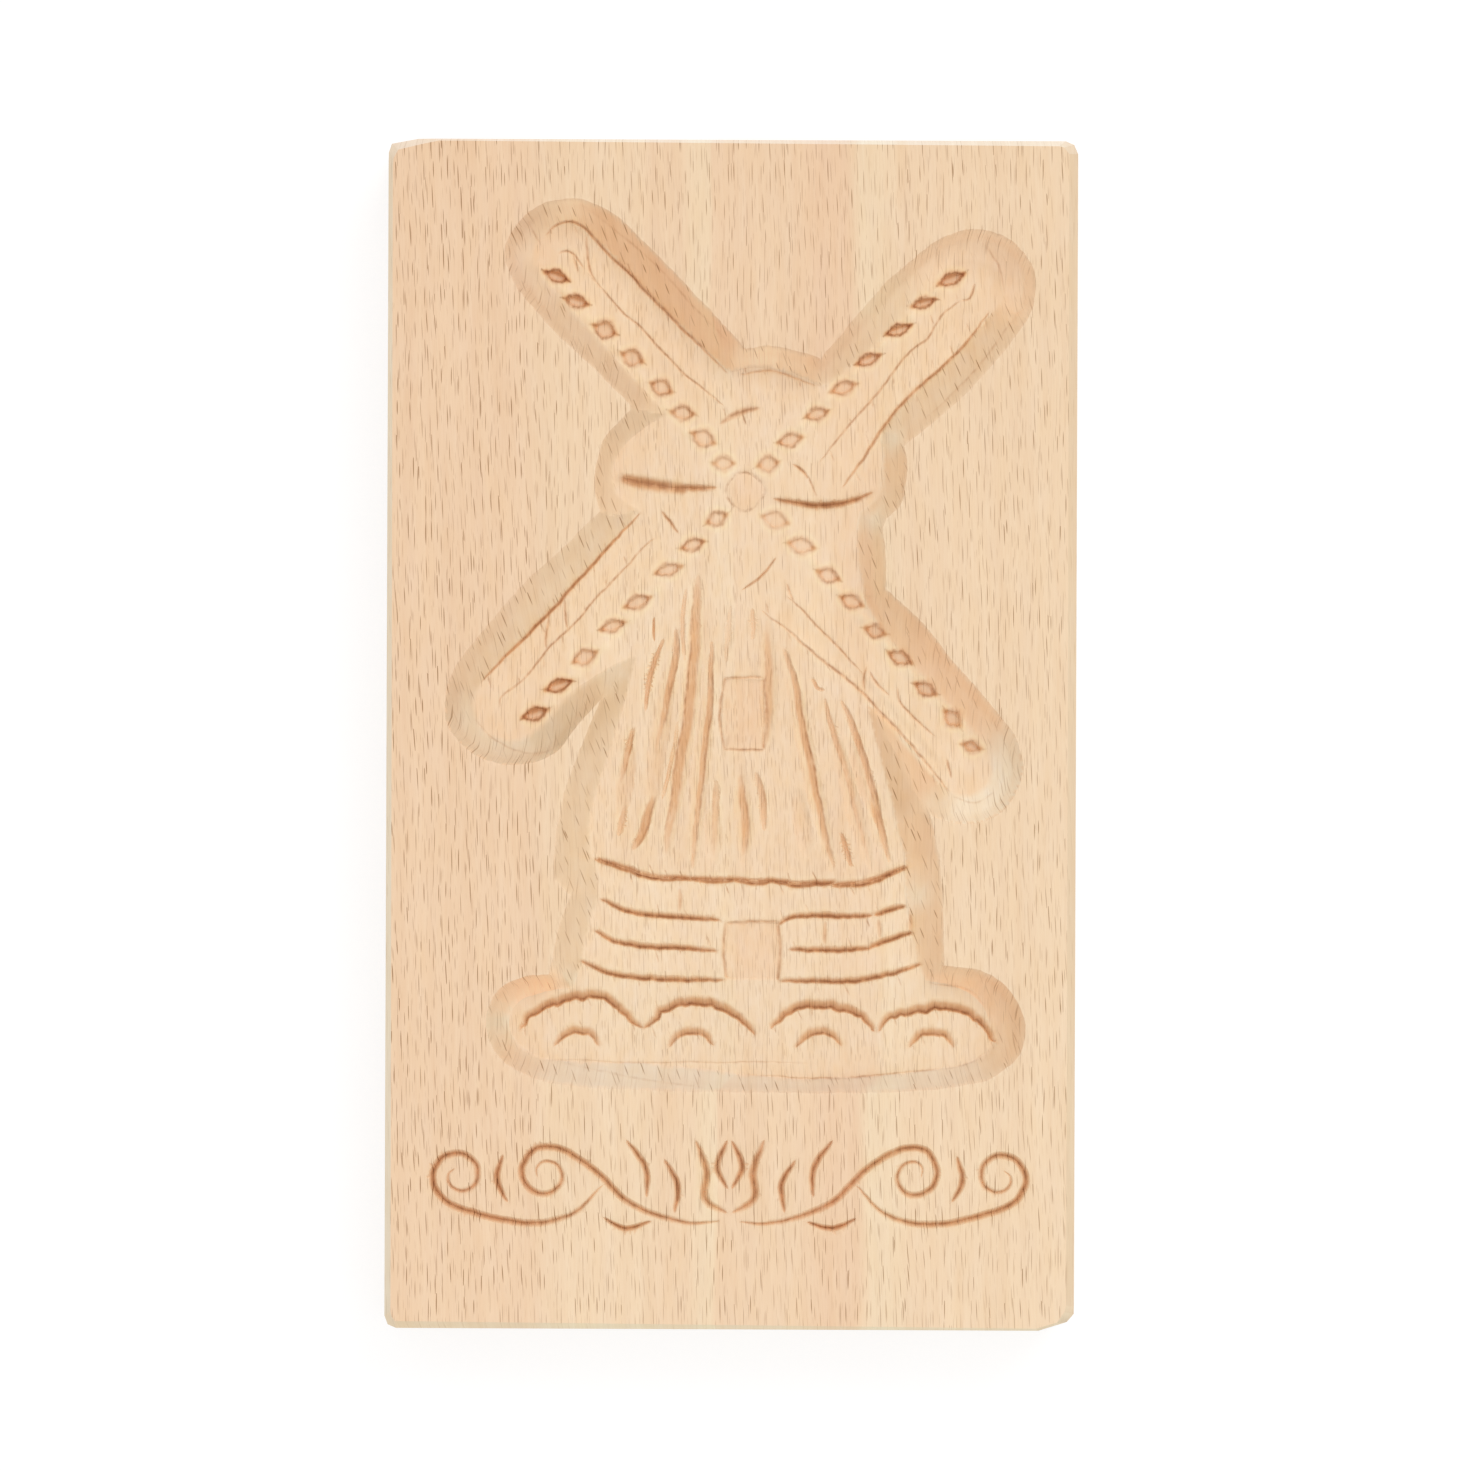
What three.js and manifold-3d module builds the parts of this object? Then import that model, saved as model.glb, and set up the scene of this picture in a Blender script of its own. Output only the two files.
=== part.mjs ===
// A carved beech cookie mould, in millimetres: one plank on its back with the carved face up (+Z),
// X across the plank, Y along its grain and the origin at the middle of the back face.
// A windmill is sunk into the face with sloping walls, and an ornament is cut into the face below it.
import * as THREE from 'three';
import { mergeVertices } from 'three/addons/utils/BufferGeometryUtils.js';
import Module from 'manifold-3d';

const wasm = await Module();
wasm.setup();

// The plank
const boardWidth = 120;
const boardLength = 207;
const boardThickness = 20;
const arris = 1.1; // sanded chamfer round both faces
const cornerClip = 2.6; // the plank's corners, rubbed off in plan

// The windmill's hub, from the middle of the face
const hubX = 1.9;
const hubY = 42.6;

// How deep the hollow goes, and how far its walls lean out on the way up to the face
const upperDepth = 6.2; // sails, cap and thatch
const lowerDepth = 5.6; // bricks and mound
const sailRun = 5.8;
const bodyRun = 5.6;
const capRun = 4.3;
const brickRun = 4.9;
const moundRun = 5.4;

// The four sails: turn is the direction from the hub in degrees, reach is the distance to the centre of
// the round end, and lead is how far the cloth lies clockwise of the row of eyes, at the end and at the hub
const sailHalfWidth = 4.9;
const sailRoot = 9; // the hollow of a sail starts this far out from the hub
const sails = [
  { turn: 45.5, reach: 53.6, lead: 4.1, rootLead: 4.0, eyes: 8, firstEye: 6.3, eyeStep: 6.5 },
  { turn: 131.3, reach: 50.9, lead: 3.7, rootLead: 5.7, eyes: 8, firstEye: 5.7, eyeStep: 6.3 },
  { turn: 227.6, reach: 55.5, lead: 5.3, rootLead: 5.0, eyes: 8, firstEye: 6.8, eyeStep: 6.66 },
  { turn: 312.1, reach: 61.4, lead: 3.4, rootLead: 3.2, eyes: 9, firstEye: 7.6, eyeStep: 6.6 },
];
const eyeLength = 4.9;
const eyeWidth = 2.3;
const hubEyeLength = 3.7; // the two eyes nearest to the hub are rounder
const hubEyeWidth = 2.9;
const roundEyes = 2;
const eyeSlant = 30; // an eye leans this far from level, rising towards its own side of the mill
const eyeDepth = 0.7;
const eyeRun = 0.4;
const hubRing = 3.4;

// The cap behind the hub
const capX = 1.2;
const capY = 3.5;
const capHalfWidth = 22.8;
const capRise = 17.7;
const capDrop = 8;

// The thatched body: its half width at the hub and at the skirt, and the sag of the skirt's edge
const bodyX = 1.6;
const bodyHeight = 64.7;
const bodyHubHalfWidth = 16.3;
const skirtHalfWidth = 27.9;
const skirtSag = 4.2;

// The brick foot under the skirt, and the mound that it stands on
const footHeight = 20.7;
const footTopHalfWidth = 26;
const footBottomHalfWidth = 30.2;
const courseTop = 7.2; // the first line between courses, down from the skirt's ends
const courseStep = 5.3;
const courseSag = 3;
const courseCount = 3;
const moundX = 2.6;
const moundHalfLength = 41.6;
const moundHalfHeight = 5.4;
const moundBelowFoot = 8.5; // from the bottom of the bricks down to the mound's own middle

// The lines on a sail, as shares: where the seam lies between the eyes and the cloth's edge, at the end and
// at the hub, and where the edge and the seam start and bend
const seamShare = 0.6;
const rootSeamShare = 0.55;
const edgeStart = 1.9; // times sailRoot
const seamStart = 1.6;
const lineBend = 0.6; // of the reach

// A bush and the small arc under it, as shares of the bushes' pitch and of the mound's half height
const bushHalfShare = 0.46;
const bushCrownShare = 0.75;
const arcHalfShare = 0.18;
const bushFoot = -0.2;
const arcFoot = -2.8;
const arcCrown = -0.8;

// Small cuts
const fineWidth = 0.8;
const fineDepth = 0.4;
const edgeWidth = 1.1;
const edgeDepth = 0.6;
const strawWidth = 1.5;
const strawDepth = 0.7;
const courseWidth = 1.3;
const courseDepth = 0.8;
const bushWidth = 1.7;
const bushDepth = 0.8;
const crescentWidth = 1.9;
const crescentDepth = 1.1;
const panelDepth = 0.4; // window and door
const panelRun = 0.25;
const cornerRadius = 1; // floor corners of the body and the foot

// Window and door, from the body's middle line and the hub's level
const windowX = -1.2;
const windowHalfWidth = 3.5;
const windowTop = -32.9;
const windowHeight = 12.2;
const windowBow = 0.5; // its long sides bulge by this much
const doorX = 0.4;
const doorHalfWidth = 4.6;
const doorHeight = 10.4;

// The carved ornament below the mill
const ornamentY = -77.6; // its middle line, from the middle of the face
const ornamentHalfLength = 52;
const ornamentHeight = 15;
const strokeWidth = 1.3;
const strokeDepth = 0.9;
const curlRadius = 5;
const curlEnd = 1.5;
const curlPoints = 9;

// A cutter stands this far out of the surface that it cuts
const clearance = 0.4;
// Steps round a sail's end, across the skirt, round the hub and along an eye
const roundSteps = 12;
const skirtSteps = 8;
const ringSteps = 24;
const eyeSteps = 4;
const grooveStep = 2.2; // a groove has a step at least this often along its length
const leastGrooveSteps = 5;

const hub = new THREE.Vector2(hubX, hubY);
const faceZ = boardThickness;
const upperFloorZ = faceZ - upperDepth;
const lowerFloorZ = faceZ - lowerDepth;
const footBottomY = -bodyHeight - footHeight;
const moundY = footBottomY - moundBelowFoot;

function toSolid(geometry) {
  const bare = geometry.clone();
  bare.deleteAttribute('normal');
  bare.deleteAttribute('uv');
  const merged = mergeVertices(bare, 1e-4);
  return new wasm.Manifold(new wasm.Mesh({
    numProp: 3,
    vertProperties: new Float32Array(merged.attributes.position.array),
    triVerts: new Uint32Array(merged.index.array),
  }));
}

function toGeometry(solid) {
  const mesh = solid.getMesh();
  const geometry = new THREE.BufferGeometry();
  geometry.setAttribute('position', new THREE.BufferAttribute(new Float32Array(mesh.vertProperties), 3));
  geometry.setIndex(new THREE.BufferAttribute(new Uint32Array(mesh.triVerts), 1));
  geometry.computeVertexNormals();
  return geometry;
}

// A closed outline through points, and one with its corners rounded
function outline(points) {
  return new THREE.Shape(points);
}

function roundedOutline(points, radius) {
  const shape = new THREE.Shape();
  points.forEach((corner, i) => {
    const before = points[(i + points.length - 1) % points.length];
    const after = points[(i + 1) % points.length];
    const start = corner.clone().add(before.clone().sub(corner).setLength(radius));
    const end = corner.clone().add(after.clone().sub(corner).setLength(radius));
    if (i === 0) shape.moveTo(start.x, start.y);
    else shape.lineTo(start.x, start.y);
    shape.quadraticCurveTo(corner.x, corner.y, end.x, end.y);
  });
  shape.closePath();
  return shape;
}

// A cutter with this outline at its floor, whose walls lean out by run over depth
function hollowCutter(shape, topZ, depth, run, curveSegments = 3) {
  const geometry = new THREE.ExtrudeGeometry(shape, {
    depth: clearance,
    steps: 1,
    curveSegments,
    bevelSegments: 1,
    bevelThickness: depth,
    bevelSize: run,
    bevelOffset: 0,
  });
  geometry.translate(0, 0, topZ);
  return toSolid(geometry);
}

// A V groove along a curve through points: it swells to its full width and depth and runs out at both ends
function groove(points, width, depth, topZ) {
  const curve = points.length > 2
    ? new THREE.CatmullRomCurve3(points.map((p) => new THREE.Vector3(p.x, p.y, 0)))
    : new THREE.LineCurve3(...points.map((p) => new THREE.Vector3(p.x, p.y, 0)));
  const steps = Math.max(leastGrooveSteps, Math.ceil(curve.getLength() / grooveStep));
  const vertices = [];
  const faces = [];
  const openZ = topZ + clearance;
  const push = (p, z) => vertices.push(p.x, p.y, z) / 3 - 1;
  const tip = push(curve.getPointAt(0), openZ);
  let last = null;
  for (let i = 1; i < steps; i += 1) {
    const t = i / steps;
    const swell = Math.sin(Math.PI * t) ** 0.4;
    const middle = curve.getPointAt(t);
    const along = curve.getTangentAt(t);
    const half = (width / 2) * swell * (1 + clearance / depth);
    const side = new THREE.Vector3(-along.y, along.x, 0).multiplyScalar(half);
    const left = push(middle.clone().add(side), openZ);
    const right = push(middle.clone().sub(side), openZ);
    const keel = push(middle, topZ - depth * swell);
    const ring = [left, keel, right];
    ring.forEach((corner, k) => {
      const next = ring[(k + 1) % ring.length];
      if (last === null) {
        faces.push(tip, corner, next);
      } else {
        faces.push(last[k], corner, next, last[k], next, last[(k + 1) % ring.length]);
      }
    });
    last = ring;
  }
  const end = push(curve.getPointAt(1), openZ);
  last.forEach((corner, k) => faces.push(end, last[(k + 1) % last.length], corner));
  const geometry = new THREE.BufferGeometry();
  geometry.setAttribute('position', new THREE.Float32BufferAttribute(vertices, 3));
  geometry.setIndex(faces);
  return toSolid(geometry);
}

// A point at a distance along a sail and a distance clockwise of its row of eyes
function onSail(sail, along, across) {
  const turn = THREE.MathUtils.degToRad(sail.turn);
  return new THREE.Vector2(
    hub.x + Math.cos(turn) * along + Math.sin(turn) * across,
    hub.y + Math.sin(turn) * along - Math.cos(turn) * across,
  );
}

// A point from the hub's level and the body's middle line
function onBody(x, y) {
  return new THREE.Vector2(hub.x + bodyX + x, hub.y + y);
}

function plank() {
  const x = boardWidth / 2;
  const y = boardLength / 2;
  const c = cornerClip;
  const shape = outline([
    [-x + c, -y], [x - c, -y], [x, -y + c], [x, y - c],
    [x - c, y], [-x + c, y], [-x, y - c], [-x, -y + c],
  ].map(([px, py]) => new THREE.Vector2(px, py)));
  const geometry = new THREE.ExtrudeGeometry(shape, {
    depth: boardThickness - 2 * arris,
    steps: 1,
    bevelSegments: 1,
    bevelThickness: arris,
    bevelSize: arris,
    bevelOffset: -arris,
  });
  geometry.translate(0, 0, arris);
  return toSolid(geometry);
}

function sailHollow(sail) {
  const from = onSail(sail, sailRoot, sail.rootLead);
  const to = onSail(sail, sail.reach, sail.lead);
  const heading = to.clone().sub(from).angle();
  const shape = new THREE.Shape();
  shape.absarc(to.x, to.y, sailHalfWidth, heading - Math.PI / 2, heading + Math.PI / 2);
  shape.absarc(from.x, from.y, sailHalfWidth, heading + Math.PI / 2, heading + 1.5 * Math.PI);
  shape.closePath();
  return hollowCutter(shape, faceZ, upperDepth, sailRun, roundSteps);
}

function capHollow() {
  const shape = new THREE.Shape();
  shape.absellipse(hub.x + capX, hub.y + capY, capHalfWidth, capRise, 0, Math.PI);
  shape.absellipse(hub.x + capX, hub.y + capY, capHalfWidth, capDrop, Math.PI, 2 * Math.PI);
  shape.closePath();
  return hollowCutter(shape, faceZ, upperDepth, capRun, roundSteps);
}

function bodyHollow() {
  const sag = new THREE.QuadraticBezierCurve(
    onBody(skirtHalfWidth - cornerRadius, -bodyHeight),
    onBody(0, -bodyHeight - 2 * skirtSag),
    onBody(-skirtHalfWidth + cornerRadius, -bodyHeight),
  ).getPoints(skirtSteps);
  const shape = outline([
    onBody(-bodyHubHalfWidth, 0),
    onBody(-skirtHalfWidth, -bodyHeight + cornerRadius),
    ...sag.reverse(),
    onBody(skirtHalfWidth, -bodyHeight + cornerRadius),
    onBody(bodyHubHalfWidth, 0),
  ]);
  return hollowCutter(shape, faceZ, upperDepth, bodyRun);
}

function footHollow() {
  const shape = roundedOutline([
    onBody(-footTopHalfWidth, -bodyHeight),
    onBody(-footBottomHalfWidth, footBottomY),
    onBody(-footBottomHalfWidth, moundY),
    onBody(footBottomHalfWidth, moundY),
    onBody(footBottomHalfWidth, footBottomY),
    onBody(footTopHalfWidth, -bodyHeight),
  ], cornerRadius);
  return hollowCutter(shape, faceZ, lowerDepth, brickRun);
}

function moundHollow() {
  const middle = hub.clone().add(new THREE.Vector2(moundX, moundY));
  const straight = moundHalfLength - moundHalfHeight;
  const shape = new THREE.Shape();
  shape.absarc(middle.x + straight, middle.y, moundHalfHeight, -Math.PI / 2, Math.PI / 2);
  shape.absarc(middle.x - straight, middle.y, moundHalfHeight, Math.PI / 2, 1.5 * Math.PI);
  shape.closePath();
  return hollowCutter(shape, faceZ, lowerDepth, moundRun, roundSteps);
}

// An eye is a pointed pit with a flat bottom
function eye(sail, index) {
  const isRound = index < roundEyes;
  const halfLength = (isRound ? hubEyeLength : eyeLength) / 2 - eyeRun;
  const halfWidth = (isRound ? hubEyeWidth : eyeWidth) / 2 - eyeRun;
  const middle = onSail(sail, sail.firstEye + index * sail.eyeStep, 0);
  const rises = Math.sin(2 * THREE.MathUtils.degToRad(sail.turn)) > 0 ? 1 : -1;
  const slant = rises * THREE.MathUtils.degToRad(eyeSlant);
  const place = (x, y) => new THREE.Vector2(x, y).rotateAround(new THREE.Vector2(), slant).add(middle);
  const shape = new THREE.Shape();
  const start = place(-halfLength, 0);
  const below = place(0, -2 * halfWidth);
  const end = place(halfLength, 0);
  const above = place(0, 2 * halfWidth);
  shape.moveTo(start.x, start.y);
  shape.quadraticCurveTo(below.x, below.y, end.x, end.y);
  shape.quadraticCurveTo(above.x, above.y, start.x, start.y);
  return hollowCutter(shape, upperFloorZ, eyeDepth, eyeRun, eyeSteps);
}

// The cloth's outer edge and the seam that runs along its middle
function sailLines(sail) {
  const clothEdge = sail.lead + sailHalfWidth;
  const rootEdge = sail.rootLead + sailHalfWidth;
  const seam = clothEdge * seamShare;
  const rootSeam = rootEdge * rootSeamShare;
  return [
    groove([
      onSail(sail, sailRoot * edgeStart, rootEdge + edgeWidth),
      onSail(sail, sail.reach * lineBend, (clothEdge + rootEdge) / 2),
      onSail(sail, sail.reach, clothEdge - edgeWidth / 2),
    ], edgeWidth, edgeDepth, upperFloorZ),
    groove([
      onSail(sail, sailRoot * seamStart, rootSeam),
      onSail(sail, sail.reach * lineBend, seam),
      onSail(sail, sail.reach - edgeWidth, seam - fineWidth),
    ], fineWidth, fineDepth, upperFloorZ),
  ];
}

function hubGroove() {
  const geometry = new THREE.LatheGeometry([
    new THREE.Vector2(hubRing - fineWidth, clearance),
    new THREE.Vector2(hubRing, -fineDepth),
    new THREE.Vector2(hubRing + fineWidth, clearance),
    new THREE.Vector2(hubRing - fineWidth, clearance),
  ], ringSteps);
  geometry.rotateX(Math.PI / 2);
  geometry.translate(hub.x, hub.y, upperFloorZ);
  return toSolid(geometry);
}

// The two long crescents that part the cap from the body, and the short ticks round the hub
function capCuts() {
  const at = (x, y) => new THREE.Vector2(hub.x + x, hub.y + y);
  return [
    groove([at(-21.2, 2.4), at(-13, 0.9), at(-4.6, 0.5)], crescentWidth, crescentDepth, upperFloorZ),
    groove([at(4.6, -1.4), at(13.5, -2.9), at(22.2, -1.2)], crescentWidth, crescentDepth, upperFloorZ),
    groove([at(-4.2, 11.2), at(0.3, 14), at(3.2, 14.4)], fineWidth, fineDepth, upperFloorZ),
    groove([at(9.4, 4.6), at(11.8, 1.8), at(13.6, -1.6)], fineWidth, fineDepth, upperFloorZ),
    groove([at(-14.2, -3.8), at(-11.4, -7.4)], fineWidth, fineDepth, upperFloorZ),
    groove([at(5.6, -12), at(2.6, -15), at(-0.4, -17)], fineWidth, fineDepth, upperFloorZ),
  ];
}

// Straws of the thatch: where each lies across the body as a share of its half width, where it starts and
// ends as a share of the body's height, and its width as a share of a full straw
const straws = [
  { side: -0.5, start: 0.23, end: 0.97, share: 1.2 },
  { side: 0.3, start: 0.42, end: 0.99, drift: 0.2, share: 1.1 },
  { side: -0.62, start: 0.4, end: 0.7, drift: -0.06, share: 0.8 },
  { side: -0.73, start: 0.42, end: 0.57, drift: -0.04, share: 0.6 },
  { side: -0.89, start: 0.66, end: 0.8, share: 0.6 },
  { side: -0.84, start: 0.84, end: 0.92, share: 0.7 },
  { side: -0.68, start: 0.83, end: 0.96, drift: -0.05, share: 1 },
  { side: -0.3, start: 0.54, end: 1.0, drift: -0.05, share: 0.9 },
  { side: -0.22, start: 0.82, end: 0.95, share: 0.8 },
  { side: -0.06, start: 0.78, end: 0.97, share: 1.1 },
  { side: 0.07, start: 0.78, end: 0.92, share: 0.7 },
  { side: 0.13, start: 0.38, end: 0.69, share: 0.7 },
  { side: 0.56, start: 0.55, end: 0.67, drift: 0.05, share: 0.6 },
  { side: 0.68, start: 0.58, end: 0.99, drift: 0.06, share: 0.9 },
  { side: 0.82, start: 0.81, end: 0.99, drift: 0.06, share: 0.7 },
  { side: 0.56, start: 0.92, end: 1.0, drift: 0.05, share: 0.6 },
];

function strawCut({ side, start, end, drift = 0, share }) {
  const place = (along, across) => {
    const half = THREE.MathUtils.lerp(bodyHubHalfWidth, skirtHalfWidth, along);
    return onBody(across * half, -along * bodyHeight);
  };
  const points = [place(start, side), place(end, side + drift)];
  return groove(points, strawWidth * share, strawDepth * share, upperFloorZ);
}

// A line that sags between two places on the body, given as shares of the half width at that height
function sagging(level, halfWidth, sag, from, to, topZ) {
  const points = [0, 0.5, 1].map((t) => {
    const share = THREE.MathUtils.lerp(from, to, t);
    return onBody(share * halfWidth, level - sag * (1 - share * share));
  });
  return groove(points, courseWidth, courseDepth, topZ);
}

// The dark edge under the thatch and the courses of brick on both sides of the door
function footCuts() {
  const skirtEdge = -bodyHeight - courseWidth / 2;
  const cuts = [[-0.97, -0.17], [-0.07, 0.47], [0.55, 0.97]].map(([from, to]) => (
    sagging(skirtEdge, skirtHalfWidth, skirtSag, from, to, lowerFloorZ)));
  for (let i = 0; i < courseCount; i += 1) {
    const down = courseTop + i * courseStep;
    const half = THREE.MathUtils.lerp(footTopHalfWidth, footBottomHalfWidth, down / footHeight);
    const level = -bodyHeight - down;
    const doorLeft = (doorX - doorHalfWidth - courseWidth) / half;
    const doorRight = (doorX + doorHalfWidth + courseWidth) / half;
    cuts.push(sagging(level, half, courseSag, -0.96, doorLeft, lowerFloorZ));
    cuts.push(sagging(level, half, courseSag, doorRight, 0.96, lowerFloorZ));
  }
  return cuts;
}

function windowCut() {
  const left = windowX - windowHalfWidth;
  const right = windowX + windowHalfWidth;
  const bottom = windowTop - windowHeight;
  const middle = (windowTop + bottom) / 2;
  const shape = outline([
    onBody(left, windowTop), onBody(left - windowBow, middle), onBody(left, bottom),
    onBody(right, bottom), onBody(right + windowBow, middle), onBody(right, windowTop),
  ]);
  return hollowCutter(shape, upperFloorZ, panelDepth, panelRun);
}

function doorCut() {
  const top = footBottomY + doorHeight;
  const shape = roundedOutline([
    onBody(doorX - doorHalfWidth, top), onBody(doorX - doorHalfWidth, footBottomY),
    onBody(doorX + doorHalfWidth, footBottomY), onBody(doorX + doorHalfWidth, top),
  ], cornerRadius);
  return hollowCutter(shape, lowerFloorZ, panelDepth, panelRun);
}

// Four bushes on the mound, each an arch with a small arc under it
function bushCuts() {
  const bushCount = 4;
  const first = -moundHalfLength;
  const pitch = (2 * moundHalfLength) / bushCount;
  const cuts = [];
  for (let i = 0; i < bushCount; i += 1) {
    const middle = moundX + first + (i + 0.5) * pitch;
    const at = (x, y) => new THREE.Vector2(hub.x + middle + x, hub.y + moundY + y);
    const half = pitch * bushHalfShare;
    const crown = moundHalfHeight * bushCrownShare;
    const bush = [at(-half, bushFoot), at(0, crown), at(half, bushFoot)];
    cuts.push(groove(bush, bushWidth, bushDepth, lowerFloorZ));
    const small = pitch * arcHalfShare;
    const arc = [at(-small, arcFoot), at(0, arcCrown), at(small, arcFoot)];
    cuts.push(groove(arc, courseWidth, courseDepth, lowerFloorZ));
  }
  return cuts;
}

// A curl winds round its own eye as its radius falls from start to end
function curl(eyeX, eyeY, startAngle, sweep, startRadius, endRadius) {
  return Array.from({ length: curlPoints + 1 }, (_, i) => {
    const t = i / curlPoints;
    const radius = THREE.MathUtils.lerp(startRadius, endRadius, t);
    const angle = THREE.MathUtils.degToRad(startAngle + sweep * t);
    return [eyeX + radius * Math.cos(angle), eyeY + radius * Math.sin(angle)];
  });
}

// One side of the ornament: half a tulip, then a stem with two curls and its leaves. Its points are from
// the tulip's middle, for an ornament of the named half length and height.
function ornamentLines() {
  const h = ornamentHeight / 2;
  const farCurl = ornamentHalfLength - curlRadius;
  const nearCurl = farCurl - 3 * curlRadius;
  const curlX = 0.35 * curlRadius;
  return [
    [[0.4, -0.75 * h], [4.4, -0.4 * h], [4, 0.2 * h], [6, 0.95 * h]],
    [[0.3, -0.2 * h], [2.2, 0.3 * h], [0.3, 0.95 * h]],
    [
      [1.6, -0.95 * h], [nearCurl - 5 * curlRadius, -0.98 * h], [nearCurl - 3 * curlRadius, -0.55 * h],
      [nearCurl - 1.6 * curlRadius, 0.3 * h],
      ...curl(nearCurl, 0.15 * h, 120, -500, curlRadius, curlEnd),
    ],
    [
      [nearCurl - 2 * curlRadius, -0.1 * h], [nearCurl - curlRadius, -0.75 * h],
      [nearCurl + curlX, -h], [farCurl - curlRadius, -0.85 * h],
      ...curl(farCurl, 0.1 * h, -60, 480, curlRadius, curlEnd),
    ],
    [[9.5, -0.75 * h], [9, -0.1 * h], [11.4, 0.5 * h]],
    [[14.5, -0.4 * h], [14.6, 0.3 * h], [18, 0.95 * h]],
    [[13.5, -0.95 * h], [18, -1.1 * h], [22, -0.85 * h]],
    [
      [nearCurl + 1.3 * curlRadius, -0.5 * h], [nearCurl + 1.7 * curlRadius, 0],
      [nearCurl + 1.5 * curlRadius, 0.6 * h],
    ],
  ];
}

function ornamentCuts() {
  return ornamentLines().flatMap((line) => [1, -1].map((mirror) => groove(
    line.map(([x, y]) => new THREE.Vector2(mirror * x, ornamentY + y)),
    strokeWidth,
    strokeDepth,
    faceZ,
  )));
}

function carvedPlank() {
  const hollows = [
    ...sails.map(sailHollow), capHollow(), bodyHollow(), footHollow(), moundHollow(),
  ];
  const cuts = [
    ...sails.flatMap((sail) => Array.from({ length: sail.eyes }, (_, i) => eye(sail, i))),
    ...sails.flatMap(sailLines),
    hubGroove(),
    ...capCuts(),
    ...straws.map(strawCut),
    ...footCuts(),
    windowCut(),
    doorCut(),
    ...bushCuts(),
    ...ornamentCuts(),
  ];
  const carved = [...hollows, ...cuts].reduce((solid, cutter) => solid.subtract(cutter), plank());
  return toGeometry(carved);
}

const beech = new THREE.MeshStandardMaterial({ color: 0xebcba9, roughness: 0.62, metalness: 0 });

const mouldBoard = new THREE.Mesh(carvedPlank(), beech);
mouldBoard.name = 'mould_board';

const mould = new THREE.Group();
mould.add(mouldBoard);

export default mould;
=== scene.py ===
# A beech biscuit mould, carved with a windmill: its carved plank, its wood, the light and the camera.
# Lengths are millimetres from the middle of the board's face, x across and y along the grain,
# and the mesh is made in metres.
import math
from functools import partial, reduce

import bpy
import numpy as np
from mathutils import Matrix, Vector, kdtree, noise
from mathutils.geometry import delaunay_2d_cdt


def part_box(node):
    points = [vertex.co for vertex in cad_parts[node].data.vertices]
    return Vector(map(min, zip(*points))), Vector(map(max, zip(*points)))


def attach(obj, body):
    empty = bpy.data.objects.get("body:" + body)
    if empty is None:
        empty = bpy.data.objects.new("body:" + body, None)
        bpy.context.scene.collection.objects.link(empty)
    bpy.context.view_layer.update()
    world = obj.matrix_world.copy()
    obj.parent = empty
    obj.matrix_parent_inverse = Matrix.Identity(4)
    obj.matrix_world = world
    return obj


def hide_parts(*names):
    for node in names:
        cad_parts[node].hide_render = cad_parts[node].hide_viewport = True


mm = 0.001

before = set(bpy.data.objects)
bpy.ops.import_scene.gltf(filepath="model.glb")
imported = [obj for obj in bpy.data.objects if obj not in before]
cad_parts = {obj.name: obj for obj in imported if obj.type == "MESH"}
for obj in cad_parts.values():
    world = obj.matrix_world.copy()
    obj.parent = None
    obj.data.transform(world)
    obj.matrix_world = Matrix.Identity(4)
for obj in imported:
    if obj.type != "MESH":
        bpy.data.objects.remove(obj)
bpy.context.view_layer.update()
boardLow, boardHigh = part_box("mould_board")
boardWidth = (boardHigh.x - boardLow.x) / mm
boardLength = (boardHigh.y - boardLow.y) / mm
faceZ = boardHigh.z / mm
rng = np.random.default_rng(11)
print("frame loaded:", round(boardWidth, 1), "x", round(boardLength, 1), "x", round(faceZ, 1), "mm")


# Camera: straight above, framed as the photograph
view = {
    "pixelsAcross": 1470,
    "pixelsPerMm": 5.75,
    "aim": (0.64, -0.14),  # what the middle of the picture shows
    "height": 1400.0,  # above the face
    "roll": 0.22,  # degrees
    "sensor": 36.0,
    "clip": (0.01, 10),  # metres
}


def placeCamera():
    data = bpy.data.cameras.new("camera")
    data.sensor_fit = "HORIZONTAL"
    data.sensor_width = view["sensor"]
    data.lens = view["sensor"] * view["height"] * view["pixelsPerMm"] / view["pixelsAcross"]
    data.clip_start, data.clip_end = view["clip"]
    camera = bpy.data.objects.new("camera", data)
    camera.location = (view["aim"][0] * mm, view["aim"][1] * mm, (faceZ + view["height"]) * mm)
    camera.rotation_euler = (0, 0, math.radians(view["roll"]))
    bpy.context.scene.collection.objects.link(camera)
    bpy.context.scene.camera = camera
    bpy.context.scene.view_settings.view_transform = "Standard"


placeCamera()
print("camera placed")


# Lines and outlines
lineStep = 0.42
spanPoints = 40


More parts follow.
